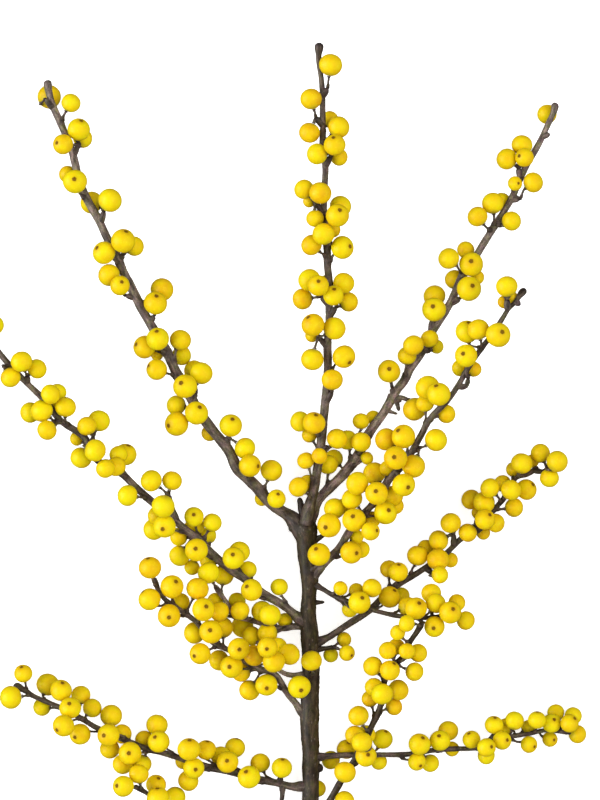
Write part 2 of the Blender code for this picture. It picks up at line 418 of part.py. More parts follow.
def lay_twigs(spray):
    """The spine of a spray and of its side twigs: x, y as read, z and half width in rows."""
    flat = smooth_route(spray["route"], SPINE_STEP)
    share = np.linspace(0, 1, len(flat))
    chords = np.linalg.norm(np.diff(np.array(spray["route"], dtype=float), axis=0), axis=1)
    stops = np.concatenate([[0], np.cumsum(chords)]) / np.sum(chords)
    if len(spray["width"]) == 2:
        stops = stops[[0, -1]]
    width = np.interp(share, stops, spray["width"])
    spines = [np.column_stack([flat, level(spray["height"], share), width / 2])]
    for points in spray["side"]:
        flat = smooth_route(points, SPINE_STEP / 2)
        near = np.argmin(np.hypot(*(spines[0][:, :2] - flat[0]).T))
        rise = np.linspace(0, 0.2 * SPINE_STEP * len(flat) / 2, len(flat))
        width = np.linspace(SIDE_TWIG_WIDTH, SIDE_TWIG_WIDTH * 0.8, len(flat))
        width = np.minimum(width, 2 * spines[0][near, 3])
        spines.append(np.column_stack([flat, spines[0][near, 2] + rise, width / 2]))
    return spines


def lay_berries(twigs):
    """Heights for all berries, so that none touches another, a twig or the surface.

    Each berry keeps the place in which it is seen and its side of what it overlaps, in front
    or behind, and moves only towards or away from the eye.
    """
    owner = []
    rows = []
    for name, spray in SPRAYS.items():
        for berry in spray["berries"]:
            owner.append(name)
            rows.append(berry[:4])
    rows = np.array(rows, dtype=float)
    x, y, size = rows[:, 0], rows[:, 1], rows[:, 2] / 2 * SOLID_SWELL
    place = rows[:, 3]
    post = np.array([[*row, i] for i, name in enumerate(SPRAYS) for part in twigs[name] for row in part])
    own = np.array([list(SPRAYS).index(name) for name in owner])
    starts = np.cumsum([0] + [len(part) for name in SPRAYS for part in twigs[name]])
    across = np.hypot(x[:, None] - post[:, 0], y[:, None] - post[:, 1])
    nearest = np.argmin(np.where(own[:, None] == post[:, 4], across, 1e6), axis=1)
    twig_z = post[nearest, 2]
    resting = place == -2
    low = np.where(resting, rows[:, 2] / 2 * REST_DEPTH, size + 0.2)
    wish = np.maximum(twig_z + np.array(PLACE_RISE)[(place + 2).astype(int)], low)
    wish[resting] = low[resting]
    key = wish + 0.1 * size

    i, j = np.nonzero(np.triu(np.hypot(x[:, None] - x, y[:, None] - y) < size[:, None] + size + 2, 1))
    gap = np.where(own[i] == own[j], BERRY_GAP, SPRAY_GAP)
    need = size[i] + size[j] + gap
    side = np.where(key[i] >= key[j], 1.0, -1.0)
    b, p = np.nonzero(across < size[:, None] + post[:, 3] + 2)
    gap_post = np.where(own[b] == post[p, 4], BERRY_GAP, SPRAY_GAP)
    need_post = size[b] + post[p, 3] + gap_post
    passing = np.zeros_like(across)
    for first, last in zip(starts, starts[1:]):
        beside = first + np.argmin(across[:, first:last], axis=1)
        passing[:, first:last] = np.where(key >= post[beside, 2], 1.0, -1.0)[:, None]
    side_post = passing[b, p]
    post_x, post_y = seen_to_true(post[:, 0], post[:, 1], post[:, 2])

    z = wish.copy()
    for sweep in range(SWEEPS):
        true_x, true_y = seen_to_true(x, y, z)
        flat = np.hypot(true_x[i] - true_x[j], true_y[i] - true_y[j])
        short = np.sqrt(np.maximum(need ** 2 - flat ** 2, 0)) - side * (z[i] - z[j])
        short = np.where(need > flat, np.maximum(short, 0), 0)
        flat = np.hypot(true_x[b] - post_x[p], true_y[b] - post_y[p])
        short_post = np.sqrt(np.maximum(need_post ** 2 - flat ** 2, 0)) - side_post * (z[b] - post[p, 2])
        short_post = np.where(need_post > flat, np.maximum(short_post, 0), 0)
        up = np.zeros(len(z))
        down = np.zeros(len(z))
        np.maximum.at(up, i, np.where(side > 0, short, 0) * 0.5)
        np.maximum.at(down, j, np.where(side > 0, short, 0) * 0.5)
        np.maximum.at(up, j, np.where(side < 0, short, 0) * 0.5)
        np.maximum.at(down, i, np.where(side < 0, short, 0) * 0.5)
        np.maximum.at(up, b, np.where(side_post > 0, short_post, 0))
        np.maximum.at(down, b, np.where(side_post < 0, short_post, 0))
        pull = 0.08 * max(0, 1 - 1.6 * sweep / SWEEPS)
        z = z + 0.8 * (up - down) + pull * (wish - z)
        z = np.maximum(z, low)
        z[resting] = low[resting]
    true_x, true_y = seen_to_true(x, y, z)
    return owner, np.stack([true_x, true_y, z], axis=1), rows[:, 2] / 2


def true_spine(spine):
    """A spine with its x and y as they really lie, not as read."""
    x, y = seen_to_true(spine[:, 0], spine[:, 1], spine[:, 2])
    return np.column_stack([x, y, spine[:, 2:]])


def stalk_foot(centre, radius, spines, rival_berries, rival_posts):
    """The point of the spray's own twigs from which a stalk reaches the berry most freely."""
    best = None
    for part in spines:
        start = 2 if part is spines[0] else 1
        for k in range(start, len(part)):
            foot = part[k, :3]
            run = centre - foot
            reach = np.linalg.norm(run)
            bare = reach - radius - part[k, 3]
            if reach < 0.5 or bare > LONGEST_STALK:
                continue
            ahead = part[min(k + 1, len(part) - 1), :3] - part[max(k - 1, 0), :3]
            forward = np.dot(run, ahead) / (reach * np.linalg.norm(ahead))
            cost = abs(bare - STALK_LENGTH) * (1.6 if bare < STALK_LENGTH else 1.0)
            cost += 2.0 * max(0, 0.25 - forward)
            begin = foot + run / reach * min(part[k, 3], reach)
            end = centre - run / reach * radius
            for posts, room, weight in rival_berries, rival_posts:
                offset = posts[:, :3] - begin
                line = end - begin
                t = np.clip(offset @ line / max(line @ line, 1e-9), 0, 1)
                miss = np.linalg.norm(offset - t[:, None] * line, axis=1) - posts[:, 3] - room
                cost += weight * float(np.sum(np.maximum(-miss, 0)))
            if best is None or cost < best[0]:
                best = (cost, foot)
    return best[1]


def lay_out():
    """Everything's true place in millimetres: twigs and berries by spray."""
    twigs = {name: lay_twigs(spray) for name, spray in SPRAYS.items()}
    owner, centres, radii = lay_berries(twigs)
    true = {name: [true_spine(part) for part in parts] for name, parts in twigs.items()}
    posts = np.array([[*row, i] for i, name in enumerate(SPRAYS) for part in true[name] for row in part])
    names = list(SPRAYS)
    berries = {name: [] for name in SPRAYS}
    for n, name in enumerate(owner):
        close = np.linalg.norm(centres - centres[n], axis=1) < NEIGHBOURHOOD
        close[n] = False
        rival_berries = np.column_stack([centres[close], radii[close] * SOLID_SWELL])
        other = posts[:, 4] != names.index(name)
        other &= np.linalg.norm(posts[:, :3] - centres[n], axis=1) < NEIGHBOURHOOD
        foot = stalk_foot(centres[n], radii[n], true[name], (rival_berries, BERRY_ROOM, BERRY_WEIGHT),
                          (posts[other], POST_ROOM, POST_WEIGHT))
        berries[name].append((centres[n], radii[n], foot))
    return true, berries


def tube(name, path, radii, sides):
    """A round twig through the path's points, closed at both ends."""
    mesh = bpy.data.meshes.new(name)
    form = bmesh.new()
    rings = []
    for k, point in enumerate(path):
        ahead = Vector(path[min(k + 1, len(path) - 1)]) - Vector(path[max(k - 1, 0)])
        ahead.normalize()
        across = ahead.cross(Vector((0, 0, 1))).normalized()
        top = across.cross(ahead)
        ring = []
        for s in range(sides):
            turn = 2 * math.pi * (s + 0.5) / sides
            offset = across * math.cos(turn) + top * math.sin(turn)
            ring.append(form.verts.new((Vector(point) + offset * radii[k]) * MM))
        rings.append(ring)
    for lower, upper in zip(rings, rings[1:]):
        for s in range(sides):
            form.faces.new((lower[s], lower[(s + 1) % sides], upper[(s + 1) % sides], upper[s]))
    form.faces.new(rings[0][::-1])
    form.faces.new(rings[-1])
    bmesh.ops.recalc_face_normals(form, faces=form.faces)
    form.to_mesh(mesh)
    form.free()
    return bpy.data.objects.new(name, mesh)


def berry_on_stalk(name, centre, radius, foot):
    """A faceted berry and its stalk as one closed solid, the stalk's foot inside the twig."""
    centre = Vector(centre)
    foot = Vector(foot)
    along = (centre - foot).normalized()
    across = along.orthogonal().normalized()
    over = along.cross(across)
    big = radius * SOLID_SWELL
    form = bmesh.new()

    def ring(middle, size, count, turn):
        points = []
        for s in range(count):
            angle = turn + 2 * math.pi * s / count
            offset = (across * math.cos(angle) + over * math.sin(angle)) * size
            points.append(form.verts.new((middle + offset) * MM))
        return points

    rise = math.radians(26.6)
    sides = BERRY_SIDES if radius * 2 > SMALL_BERRY else BERRY_SIDES - 1
    base = ring(foot, STALK_WIDTH / 2, 3, 0)
    neck = ring(centre - along * big * 0.97, STALK_WIDTH / 2, 3, 0)
    lower = ring(centre - along * big * math.sin(rise), big * math.cos(rise), sides, 0)
    upper = ring(centre + along * big * math.sin(rise), big * math.cos(rise), sides, math.pi / sides)
    apex = form.verts.new((centre + along * big) * MM)
    stalk = [form.faces.new(base[::-1])]
    for s in range(3):
        stalk.append(form.faces.new((base[s], base[(s + 1) % 3], neck[(s + 1) % 3], neck[s])))
    a = 0
    b = 0
    while a < 3 or b < sides:
        if b == sides or (a < 3 and (a + 1) / 3 < (b + 1) / sides):
            form.faces.new((neck[a % 3], neck[(a + 1) % 3], lower[b % sides]))
            a += 1
        else:
            form.faces.new((neck[a % 3], lower[(b + 1) % sides], lower[b % sides]))
            b += 1
    for s in range(sides):
        after = (s + 1) % sides
        form.faces.new((lower[s], lower[after], upper[s]))
        form.faces.new((lower[after], upper[after], upper[s]))
        form.faces.new((upper[s], upper[after], apex))
    bmesh.ops.recalc_face_normals(form, faces=form.faces)
    for face in form.faces:
        face.material_index = 1
    for face in stalk:
        face.material_index = 0
    mesh = bpy.data.meshes.new(name)
    form.to_mesh(mesh)
    form.free()
    return bpy.data.objects.new(name, mesh)


def apply_boolean(target, operation, solver, cutter=None, collection=None):
    """Run one Boolean on the object and keep its result as the object's mesh."""
    step = target.modifiers.new("join", "BOOLEAN")
    step.operation = operation
    step.solver = solver
    if collection is None:
        step.object = cutter
    else:
        step.operand_type = "COLLECTION"
        step.collection = collection
    graph = bpy.context.evaluated_depsgraph_get()
    result = bpy.data.meshes.new_from_object(target.evaluated_get(graph))
    target.modifiers.clear()
    target.data = result


def keep_largest(target):
    """Leave only the outer shell: drop loose scraps and fill hollows sealed by the joining."""
    form = bmesh.new()
    form.from_mesh(target.data)
    form.faces.ensure_lookup_table()
    shells = []
    left = set(form.faces)
    while left:
        seed = left.pop()
        shell = [seed]
        queue = [seed]
        while queue:
            for edge in queue.pop().edges:
                for face in edge.link_faces:
                    if face in left:
                        left.remove(face)
                        shell.append(face)
                        queue.append(face)
        shells.append(shell)
    shells.sort(key=len)
    for shell in shells[:-1]:
        bmesh.ops.delete(form, geom=shell, context="FACES")
    form.to_mesh(target.data)
    form.free()


def material(name, colour, roughness):
    """A plain material; the scene gives the branch its real looks."""
    look = bpy.data.materials.new(name)
    look.use_nodes = True
    shader = look.node_tree.nodes["Principled BSDF"]
    shader.inputs["Base Color"].default_value = (*colour, 1)
    shader.inputs["Roughness"].default_value = roughness
    shader.inputs["Metallic"].default_value = 0
    return look


def twig_tube(name, spine, sides, extra):
    """The tube of a spine, with a ring every few steps and its tip drawn in."""
    picks = list(range(0, len(spine) - 1, RING_EVERY))
    if len(spine) - 1 - picks[-1] < RING_EVERY / 2 and len(picks) > 1:
        picks.pop()
    picks.append(len(spine) - 1)
    if len(spine) > 2 * RING_EVERY:
        picks.insert(-1, len(spine) - 2)
    path = spine[picks, :3]
    radii = spine[picks, 3] + extra
    for end, inner in (0, 1), (-1, -2):
        away = path[end] - path[inner]
        path[end] += away / np.linalg.norm(away) * extra
    return tube(name, path, radii, sides)


def build():
    """Make each node as one closed solid, standing clear of its parents and cut flat below."""
    for leftover in list(bpy.data.objects):
        bpy.data.objects.remove(leftover)
    scene = bpy.context.scene.collection
    bark = material("bark", (0.055, 0.042, 0.036), 0.7)
    skin = material("berry", (0.85, 0.52, 0.03), 0.3)
    twigs, berries = lay_out()
    for name, spray in SPRAYS.items():
        sides = STEM_SIDES if name == "main_stem" else TWIG_SIDES
        body = twig_tube(name, twigs[name][0], sides, 0)
        scene.objects.link(body)
        body.data.materials.append(bark)
        body.data.materials.append(skin)
        fruit = bpy.data.collections.new(name + "_fruit")
        scene.children.link(fruit)
        for part in twigs[name][1:]:
            twig = twig_tube("side_twig", part, TWIG_SIDES, 0)
            fruit.objects.link(twig)
        for centre, radius, foot in berries[name]:
            berry = berry_on_stalk("berry", centre, radius, foot)
            fruit.objects.link(berry)
        for piece in fruit.objects:
            piece.data.materials.append(bark)
            piece.data.materials.append(skin)
        apply_boolean(body, "UNION", "EXACT", collection=fruit)
        for piece in list(fruit.objects):
            bpy.data.objects.remove(piece)
        bpy.data.collections.remove(fruit)
        for parent in spray["from"]:
            sides = STEM_SIDES if parent == "main_stem" else TWIG_SIDES
            cutter = twig_tube("joint", twigs[parent][0], sides, JOINT_GAP)
            scene.objects.link(cutter)
            apply_boolean(body, "DIFFERENCE", "EXACT", cutter=cutter)
            bpy.data.objects.remove(cutter)
        bpy.ops.mesh.primitive_cube_add(size=1)
        slab = bpy.context.object
        slab.scale = (1, 1, 0.1)
        slab.location = (0, 0.1, -0.05)
        apply_boolean(body, "DIFFERENCE", "EXACT", cutter=slab)
        bpy.data.objects.remove(slab)
        keep_largest(body)
        body.location = (-MIDDLE_X * MM, -MIDDLE_Y * MM, 0)
        body.data.shade_smooth()
        body.data.set_sharp_from_angle(angle=math.radians(50))


build()
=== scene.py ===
"""Looks of the winterberry branch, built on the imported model.

The tables and the laying out are those of the part's own source, so each berry and twig
stands where its solid does. Lengths are millimetres until the meshes are made.
"""
import math

import bpy
import numpy as np
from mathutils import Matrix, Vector


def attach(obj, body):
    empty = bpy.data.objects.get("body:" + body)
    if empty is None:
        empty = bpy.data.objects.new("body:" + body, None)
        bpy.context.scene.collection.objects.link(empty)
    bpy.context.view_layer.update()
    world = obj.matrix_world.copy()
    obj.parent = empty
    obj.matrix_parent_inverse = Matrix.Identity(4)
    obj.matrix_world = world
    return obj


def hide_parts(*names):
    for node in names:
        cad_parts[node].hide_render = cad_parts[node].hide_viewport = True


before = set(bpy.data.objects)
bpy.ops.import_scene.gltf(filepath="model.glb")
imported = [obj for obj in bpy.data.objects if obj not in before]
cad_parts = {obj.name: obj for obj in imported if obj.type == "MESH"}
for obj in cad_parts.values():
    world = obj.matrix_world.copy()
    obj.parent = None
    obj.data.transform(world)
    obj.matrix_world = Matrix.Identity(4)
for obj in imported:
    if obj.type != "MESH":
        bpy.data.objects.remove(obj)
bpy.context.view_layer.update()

MM = 0.001

# What the grid was read through: the eye is this far above the reading plane, over this point,
# so a part nearer the eye reads larger than it is.
EYE_RANGE = 2000.0
READING_HEIGHT = 15.0
EYE_X, EYE_Y = -4.0, 160.0

# The middle of the whole branch on the grid, which is where the part's origin lies.
MIDDLE_X, MIDDLE_Y = -14.3, 89.7

# Clearances and small sizes, in millimetres.
BERRY_GAP = 0.25
SPRAY_GAP = 0.8
STALK_LENGTH = 3.4
SIDE_TWIG_WIDTH = 1.9
SIDE_TWIG_SLOPE = 0.2
SIDE_TWIG_TAPER = 0.8
SOLID_SWELL = 1.05
REST_DEPTH = 0.8
SPINE_STEP = 2.0

# How far above its twig a berry would hang for each place, from resting to in front.
PLACE_RISE = (-9.0, -4.5, 0.5, 4.5)
SWEEPS = 400

# A stalk's line is judged against what is this near, by the room it needs beside each kind
# of thing and by how much a shortage counts.
NEIGHBOURHOOD = 26.0
LONGEST_STALK = 24.0
BERRY_ROOM, BERRY_WEIGHT = 0.75, 5.0
POST_ROOM, POST_WEIGHT = 0.9, 12.0

# What is drawn: steps along the bark, points round each thing, and sizes in millimetres.
RING_STEP = 0.8
STEM_SIDES = 28
TWIG_SIDES = 14
STALK_SIDES = 8
CALYX_SIDES = 12
BERRY_SIDES = 28
STALK_RADIUS = 0.46
STALK_FOOT_RADIUS = 0.85
KNUCKLE_LENGTH = 1.15
KNUCKLE_SWELL, KNUCKLE_GIRTH = 0.42, 0.06
THINNEST_TWIG = 0.12

# A stalk leaves from a side twig's end if that is this near the berry and this far from touching.
LONGEST_TO_SPUR, LEAST_TO_SPUR = 6.0, 0.7

# How far a stalk may bow aside, what a millimetre of bow costs it against one of lost room, the
# room it needs beside things and above the floor, and how much more the floor counts.
BOWS, BOW_COST = (0, 1, 2, 3.2, 4.6), 0.25
STALK_ROOM, FLOOR_ROOM, FLOOR_COST = 0.6, 0.4, 3

# How much a stalk's end is drawn from the berry's back towards the twig, and how high it may sit.
POLE_PULL, POLE_TOP = 0.6, 0.3

# How far from a berry's middle its apex may be seen, as a share of its half width.
WIDEST_APEX = 0.97

# How wide a berry is drawn against its solid, its height against its width, and where its stalk
# ends, as a share of its half width.
FRUIT_SWELL = 1.045
FRUIT_HEIGHT = 0.965
FRUIT_BACK = 0.97

# How uneven bark is, as shares of its half width: its waves, each so long, its ridges, its grain.
BARK_WAVES, WAVE_SWELL = (7.3, 3.1, 1.7), 0.022
STEM_RELIEF = (0.022, 0.016)
TWIG_RELIEF = (0.016, 0.012)

# How much a twig swells at its foot, and at its blunt end unless its spray has its own club.
COLLAR_SWELL = 0.42
PLAIN_CLUB = 1.12
STUB_CLUB = 1.15

# How dark bark is all over on side twigs and stubs, where a twig leaves its wood, at the top of
# the stem and at a twig's end, and how pale a stalk's is.
SIDE_TWIG_DARK = 0.5
STUB_DARK = 0.6
COLLAR_DARK, TOP_DARK, TIP_DARK = 0.6, 0.5, 0.7
STALK_PALE = 0.4

# Rings across the stem's cut end, from its middle: how far out, and which ring of wood.
CUT_RINGS = ((0.12, 0.925), (0.3, 0.825), (0.5, 0.725), (0.7, 0.625), (0.88, 0.525), (0.93, 0.0))

# Rings of a calyx: the angle from the stalk, and how far out as a share of the berry's radius.
# Those at a wider angle than the last number have lobes.
CALYX_RINGS = ((0.13, 0.985), (0.20, 0.99), (0.22, 1.03), (0.17, 1.055), (0.10, 1.07))
CALYX_LOBED = 0.18

# A berry's unevenness, its dimples at apex and stalk, and its raised scar, by depth and angle.
FRUIT_RELIEF = (0.016, 0.012, 0.008, 0.006)
DIMPLE_DEPTH, DIMPLE_ANGLE = 0.055, 0.30
BACK_DEPTH, BACK_ANGLE = 0.02, 0.4
SCAR_HEIGHT, SCAR_ANGLE, SCAR_RAGGED = 0.035, 0.205, 0.012
PIT_DEPTH, PIT_ANGLE = 0.02, 0.1

# A berry's tone, how much more golden it is painted behind a twig as painted shade, and how far chance may
# take it.
PLAIN_TONE, BEHIND_PAINTED_SHADE, TONE_SPREAD, TONE_LIMIT = 0.38, 0.1, 0.15, 1.6

# Polar angles of the rings of a berry, close together round the scar at its apex.
FRUIT_RINGS = np.concatenate([[0.065, 0.115, 0.155, 0.185, 0.22, 0.265, 0.33, 0.42, 0.54],
                              np.linspace(0.7, 2.9, 14)])

# The stage in metres, and the lamps: how wide they look in degrees, and where each one shines
# from and how strongly.
FLOOR_REACH = 14
WALL_RADIUS, WALL_HEIGHT, WALL_STEPS = 13, 5, 96
LAMP_WIDTH = 60
LAMPS = {"key": ((-2.1, 0, 0.98), 2.9), "rim": ((2.1, 0, 0.6), 0.25), "front": ((0.85, 0, 1.8), 2.35)}
SKY_COLOUR, SKY_STRENGTH = (0.93, 0.95, 1.0, 1), 0.28
LENS, SENSOR = 225, 36

# Each spray, as read off the photo. Its height is that of its foot, middle and tip, and its
# widths lie along its route. Its tone is how pale its bark is at foot and tip, from the dark stem at 0 to
# the greyest a little past 1, and how much more golden than lemon its berries are. Then come its
# short side twigs and its berries. A berry is x, y, width and its place: 1 in front of the twig,
# 0 beside it, -1 behind it, and -2 behind it and resting on the surface. Two more numbers give
# where its dark apex is seen. Stubs are bare: where each leaves the bark, where it ends and its
# half width.
SPRAYS = {}
SPRAYS["main_stem"] = {
    "height": (3.7, 12.1, 20.5), "tone": (0, 0, -0.08),
    "width": (7.7, 7.6, 7.5, 7.3, 7, 6.8, 6.7, 7.4, 7.2, 7.1, 7.2, 6.1, 6.1, 7.4,
              7.6, 8.5, 9.3, 6.5),
    "route": [
        (0, -120), (0.6, -90), (0.4, -60), (-0.3, -30), (0.2, 0), (0.3, 10), (0.3, 20), (-0.2, 30),
        (0.2, 45), (0.4, 55), (0, 65), (-0.8, 75), (-0.3, 85), (-0.2, 90), (-1, 97), (-1.3, 104),
        (-1.8, 109), (-2, 113)],
    "side": [
        [(-1, 101), (2.2, 104), (5.8, 106.3), (9, 109.5), (10.2, 112.5)],
        [(0, 60), (5.5, 60.6), (9.5, 61.2)]],
    "stubs": [
        ((-2.6, 113.5), (-4.3, 121), 1), ((-5.6, 110.2), (-8.3, 107.6), 0.9), ((2, 79), (5.8, 79.2), 0.6),
        ((2.6, 12.6), (5.2, 13.4), 1.1)],
    "berries": [
        (0.6, 55.7, 8, 1), (-4.3, 45.2, 8.8, 1, -3.5, 43.8), (2.8, 4.6, 6.8, -1),
        (3.6, 98.2, 8.8, 1, 2.3, 100.6), (8.3, 58, 5.8, -1), (13.6, 64.2, 5.8, -1),
        (14.8, 58.8, 6.2, 1, 16.8, 57.7), (7.6, 109.8, 9.2, 1, 6.1, 109), (9.8, 116.6, 8.2, 0),
        (13.4, 117.4, 6.2, -1)]}
SPRAYS["leader"] = {
    "height": (22.5, 31, 44), "tone": (0.4, 0.2, 0.09), "club": 1.7, "width": (3.9, 2.1),
    "route": [
        (-1.6, 110), (-0.5, 116), (1.1, 122.3), (2.7, 131), (3.4, 136), (4.2, 141), (5.2, 149), (5.9, 157),
        (6.7, 165), (7.2, 174), (7, 182), (7.6, 190), (7.6, 198), (7.8, 206), (7, 214), (6.9, 221),
        (5.8, 230), (5.5, 236.5), (5.9, 247), (6.2, 253), (5.1, 262), (5.2, 268), (5, 276), (5.1, 280),
        (4.6, 288), (3.5, 296), (3.7, 303)],
    "side": [
        [(4.2, 140), (7.8, 141.2)], [(6.4, 159), (8.9, 163.5)], [(7, 181), (3.4, 185.3)],
        [(7.6, 193), (10.4, 197.3)], [(7.6, 198), (4.8, 201.5)], [(5.6, 235), (2, 239)],
        [(6.2, 253.5), (8.4, 257.6)], [(5.1, 270), (2.4, 273)], [(5, 281.5), (7.1, 284.8)]],
    "berries": [
        (-4.7, 125.2, 7.6, 1), (-0.9, 126.7, 6.8, -1), (3.8, 137.6, 6.2, 1), (-1.7, 135.7, 6.6, 0),
        (10.8, 144.5, 8, 0), (1.6, 150.8, 8.6, 1, 2.5, 154.2), (-4, 151.4, 7.8, 0), (-0.2, 146, 6, -1),
        (0.9, 176.2, 8.6, 1), (8.9, 168.1, 8.2, 1), (13.6, 177.3, 8.8, 1, 16, 174.8),
        (1.2, 190, 8.8, 1, -0.9, 193.3), (0.9, 186, 5.6, -1), (9.8, 188.7, 8.8, 1), (-3, 200.4, 8, 0),
        (-0.3, 208, 8.6, 0), (3.3, 205.8, 8, 1, 3.4, 207.6), (6, 206.8, 6, -1),
        (9.4, 201.8, 7.8, 1, 9.7, 204.5), (13.5, 206.8, 8.2, 0), (15.4, 199.3, 7.6, -1), (0.6, 222, 8, 1),
        (13, 221, 8.8, 1, 16.3, 221.5), (5.4, 226.4, 8.6, 1), (8.8, 228.2, 6.6, -1), (2, 232.6, 6.8, 0),
        (11, 233.8, 8.8, 1, 12, 236.1), (12.2, 237.4, 8.4, -1), (4.1, 242.8, 8.6, 1),
        (-2.4, 244.3, 7.6, 0), (-0.3, 239.6, 5, -1), (2.8, 258.4, 8, 1), (9.9, 262, 8.2, 1, 9.3, 265.2),
        (11.6, 257.2, 6.8, -1), (11.5, 269.2, 8.4, 0), (8, 272.2, 6.6, -1), (-0.2, 266.9, 8, 0),
        (0.4, 280.4, 8.2, 1), (8.3, 294, 8.8, 1)]}
SPRAYS["upper_left_spray"] = {
    "height": (20, 17.5, 11.6), "tone": (0.3, 0.85, -0.04), "club": 1.2, "width": (4.8, 2.7),
    "route": [
        (-3, 106), (-7.2, 112.7), (-12.5, 116.3), (-17.2, 120.3), (-21.2, 125), (-26.2, 129.7),
        (-29.3, 132.8), (-32.6, 140), (-39, 148), (-43.5, 154), (-47.5, 160.7), (-50.5, 166), (-53.6, 171),
        (-57, 179), (-60, 184), (-62.9, 189), (-67, 196), (-70.5, 203), (-75, 212), (-77.3, 218),
        (-80.8, 224), (-84.5, 232), (-89, 240), (-92.3, 248), (-94.2, 256), (-96, 262), (-99.5, 270),
        (-103, 278), (-104.6, 284), (-105, 288)],
    "side": [
        [(-33, 141), (-33.2, 145.5)], [(-47.3, 160), (-45.6, 162.8)], [(-64.3, 191), (-62.2, 193.8)],
        [(-70, 201), (-73.9, 201.8)], [(-76.6, 216), (-74.6, 218.2)], [(-83.8, 230.5), (-82.3, 235.6)],
        [(-94.6, 258), (-92.3, 262.4)], [(-102.8, 277), (-105.9, 280.3)]],
    "berries": [
        (-13.4, 120.5, 7.2, 1, -12.7, 122.5), (-19.2, 120.6, 5.8, -1), (-15.4, 131.8, 8.5, 0),
        (-24, 133.7, 8.6, 1, -20.5, 133.5), (-26, 140.7, 8.2, 1), (-31.7, 149.8, 8.8, 0, -31, 152.5),
        (-40.2, 146.8, 6.4, -1), (-45.4, 154.8, 9, 1, -44, 157.3), (-53.4, 150.4, 9.2, 0, -56.9, 149.7),
        (-53.5, 157.9, 7.6, 0), (-50, 165.5, 9.2, 1, -51.7, 166.9), (-43.5, 170.7, 8.8, 0),
        (-46.3, 171.8, 8, -1), (-61.3, 172.2, 8.2, 1, -64.9, 173.8), (-51.4, 177.8, 7.6, -1),
        (-51.8, 184, 8.2, 0), (-61.2, 178.3, 5, -1), (-66.2, 181.2, 8.8, 0, -69.9, 182.3),
        (-60.9, 184.4, 8.8, 1, -61.4, 187.7), (-61.8, 198.8, 9, 1, -61.4, 201.8), (-59.2, 204.2, 9, -1),
        (-76, 205.8, 7.6, 1, -75.2, 207.3), (-80.4, 210, 8.6, 0), (-82.4, 218.9, 8.8, 1, -85.5, 221),
        (-74.7, 223.7, 9.4, 1, -73.5, 227.7), (-70.3, 221.5, 7.6, -1), (-80, 239.9, 9.2, 1),
        (-87.4, 239, 8.6, -1), (-94, 247.4, 9.2, 1, -94.3, 248.4), (-97, 250.3, 6.8, -1),
        (-98.8, 262.3, 7.8, 1, -101.5, 262.9), (-92.5, 268.2, 8.8, 1, -91.5, 272), (-90.9, 264.7, 7.6, -1),
        (-104.3, 281.3, 9.2, -2), (-95.6, 278.8, 7.4, 0)]}
SPRAYS["upper_right_spray"] = {
    "height": (18.3, 18, 9.8), "tone": (1.15, 0.7, 0), "club": 1.3, "width": (4.2, 2.3),
    "route": [
        (-1, 110), (0.6, 115), (3.8, 120.7), (8.8, 125.7), (12.5, 129.3), (15, 132.2), (17.7, 136),
        (20, 139.5), (23.7, 147), (28.9, 154), (32.5, 160), (34.8, 164), (37.9, 168), (39.7, 172),
        (42.3, 176), (44.6, 179.3), (47.5, 185), (51.3, 191), (55.8, 198.3), (58.7, 204.5), (61.5, 211),
        (66.5, 217.8), (70.3, 224), (75.4, 232), (80.3, 240), (84.7, 249.8), (87.6, 255.5), (92, 263.3),
        (95.3, 270.5), (97.8, 276), (97.9, 279)],
    "side": [
        [(33.6, 161), (32.9, 165)], [(32.8, 159.6), (36.6, 161), (39.4, 159.8)],
        [(45, 180), (48.5, 179.9)], [(48.6, 188), (48.9, 192.3)], [(56.8, 199), (60.2, 200.8)],
        [(74.5, 230.6), (77.6, 230)], [(80.6, 240.2), (84, 240.4)], [(84.2, 248.8), (83.3, 252.8)],
        [(93, 265.5), (96, 266.4)]],
    "stubs": [
        ((31, 161.6), (36.6, 159.4), 0.8), ((34.4, 160.4), (35.6, 155.6), 0.7),
        ((29.5, 156.2), (35, 154.4), 0.5)],
    "berries": [
        (7.2, 134.2, 7.8, 1), (9.4, 136.4, 7.4, 0), (15, 144, 7.8, 1), (20.4, 143.2, 7.8, 1),
        (20.4, 151.5, 6.4, 0), (25.3, 153, 5.6, -1), (22.8, 136.7, 5, 0),
        (31.6, 171.5, 8.8, 1, 31.7, 172.5), (41.8, 156.3, 9, 1), (38.8, 177.7, 7.2, 0),
        (41.3, 181.8, 8, 1), (47.9, 184.5, 6.9, 1), (50.6, 181.4, 5.6, -1),
        (49.6, 196.2, 9.2, 1, 49.1, 197.5), (49.8, 201.6, 8.4, -1), (57.9, 208.2, 7.6, -1),
        (63.6, 204.5, 9.4, 1, 65.1, 205.8), (64.5, 214.3, 9.3, 1, 64.4, 215.6), (67, 209, 5.4, -1),
        (55.5, 216.6, 8.2, 1), (62.3, 220, 6.8, -1), (67, 233.4, 7.8, 1), (73.1, 238.7, 8.4, 1),
        (76.7, 239.6, 6.6, -1), (80.6, 231.6, 7.6, 0), (82, 246.6, 5.6, 1, 83.5, 246.7),
        (89.3, 247, 7.8, 1), (78.7, 256.4, 8.2, 0), (84.8, 262, 8, 0), (85.8, 257, 7.2, 1, 83.5, 257.7),
        (94.8, 274.3, 7.6, -2)]}
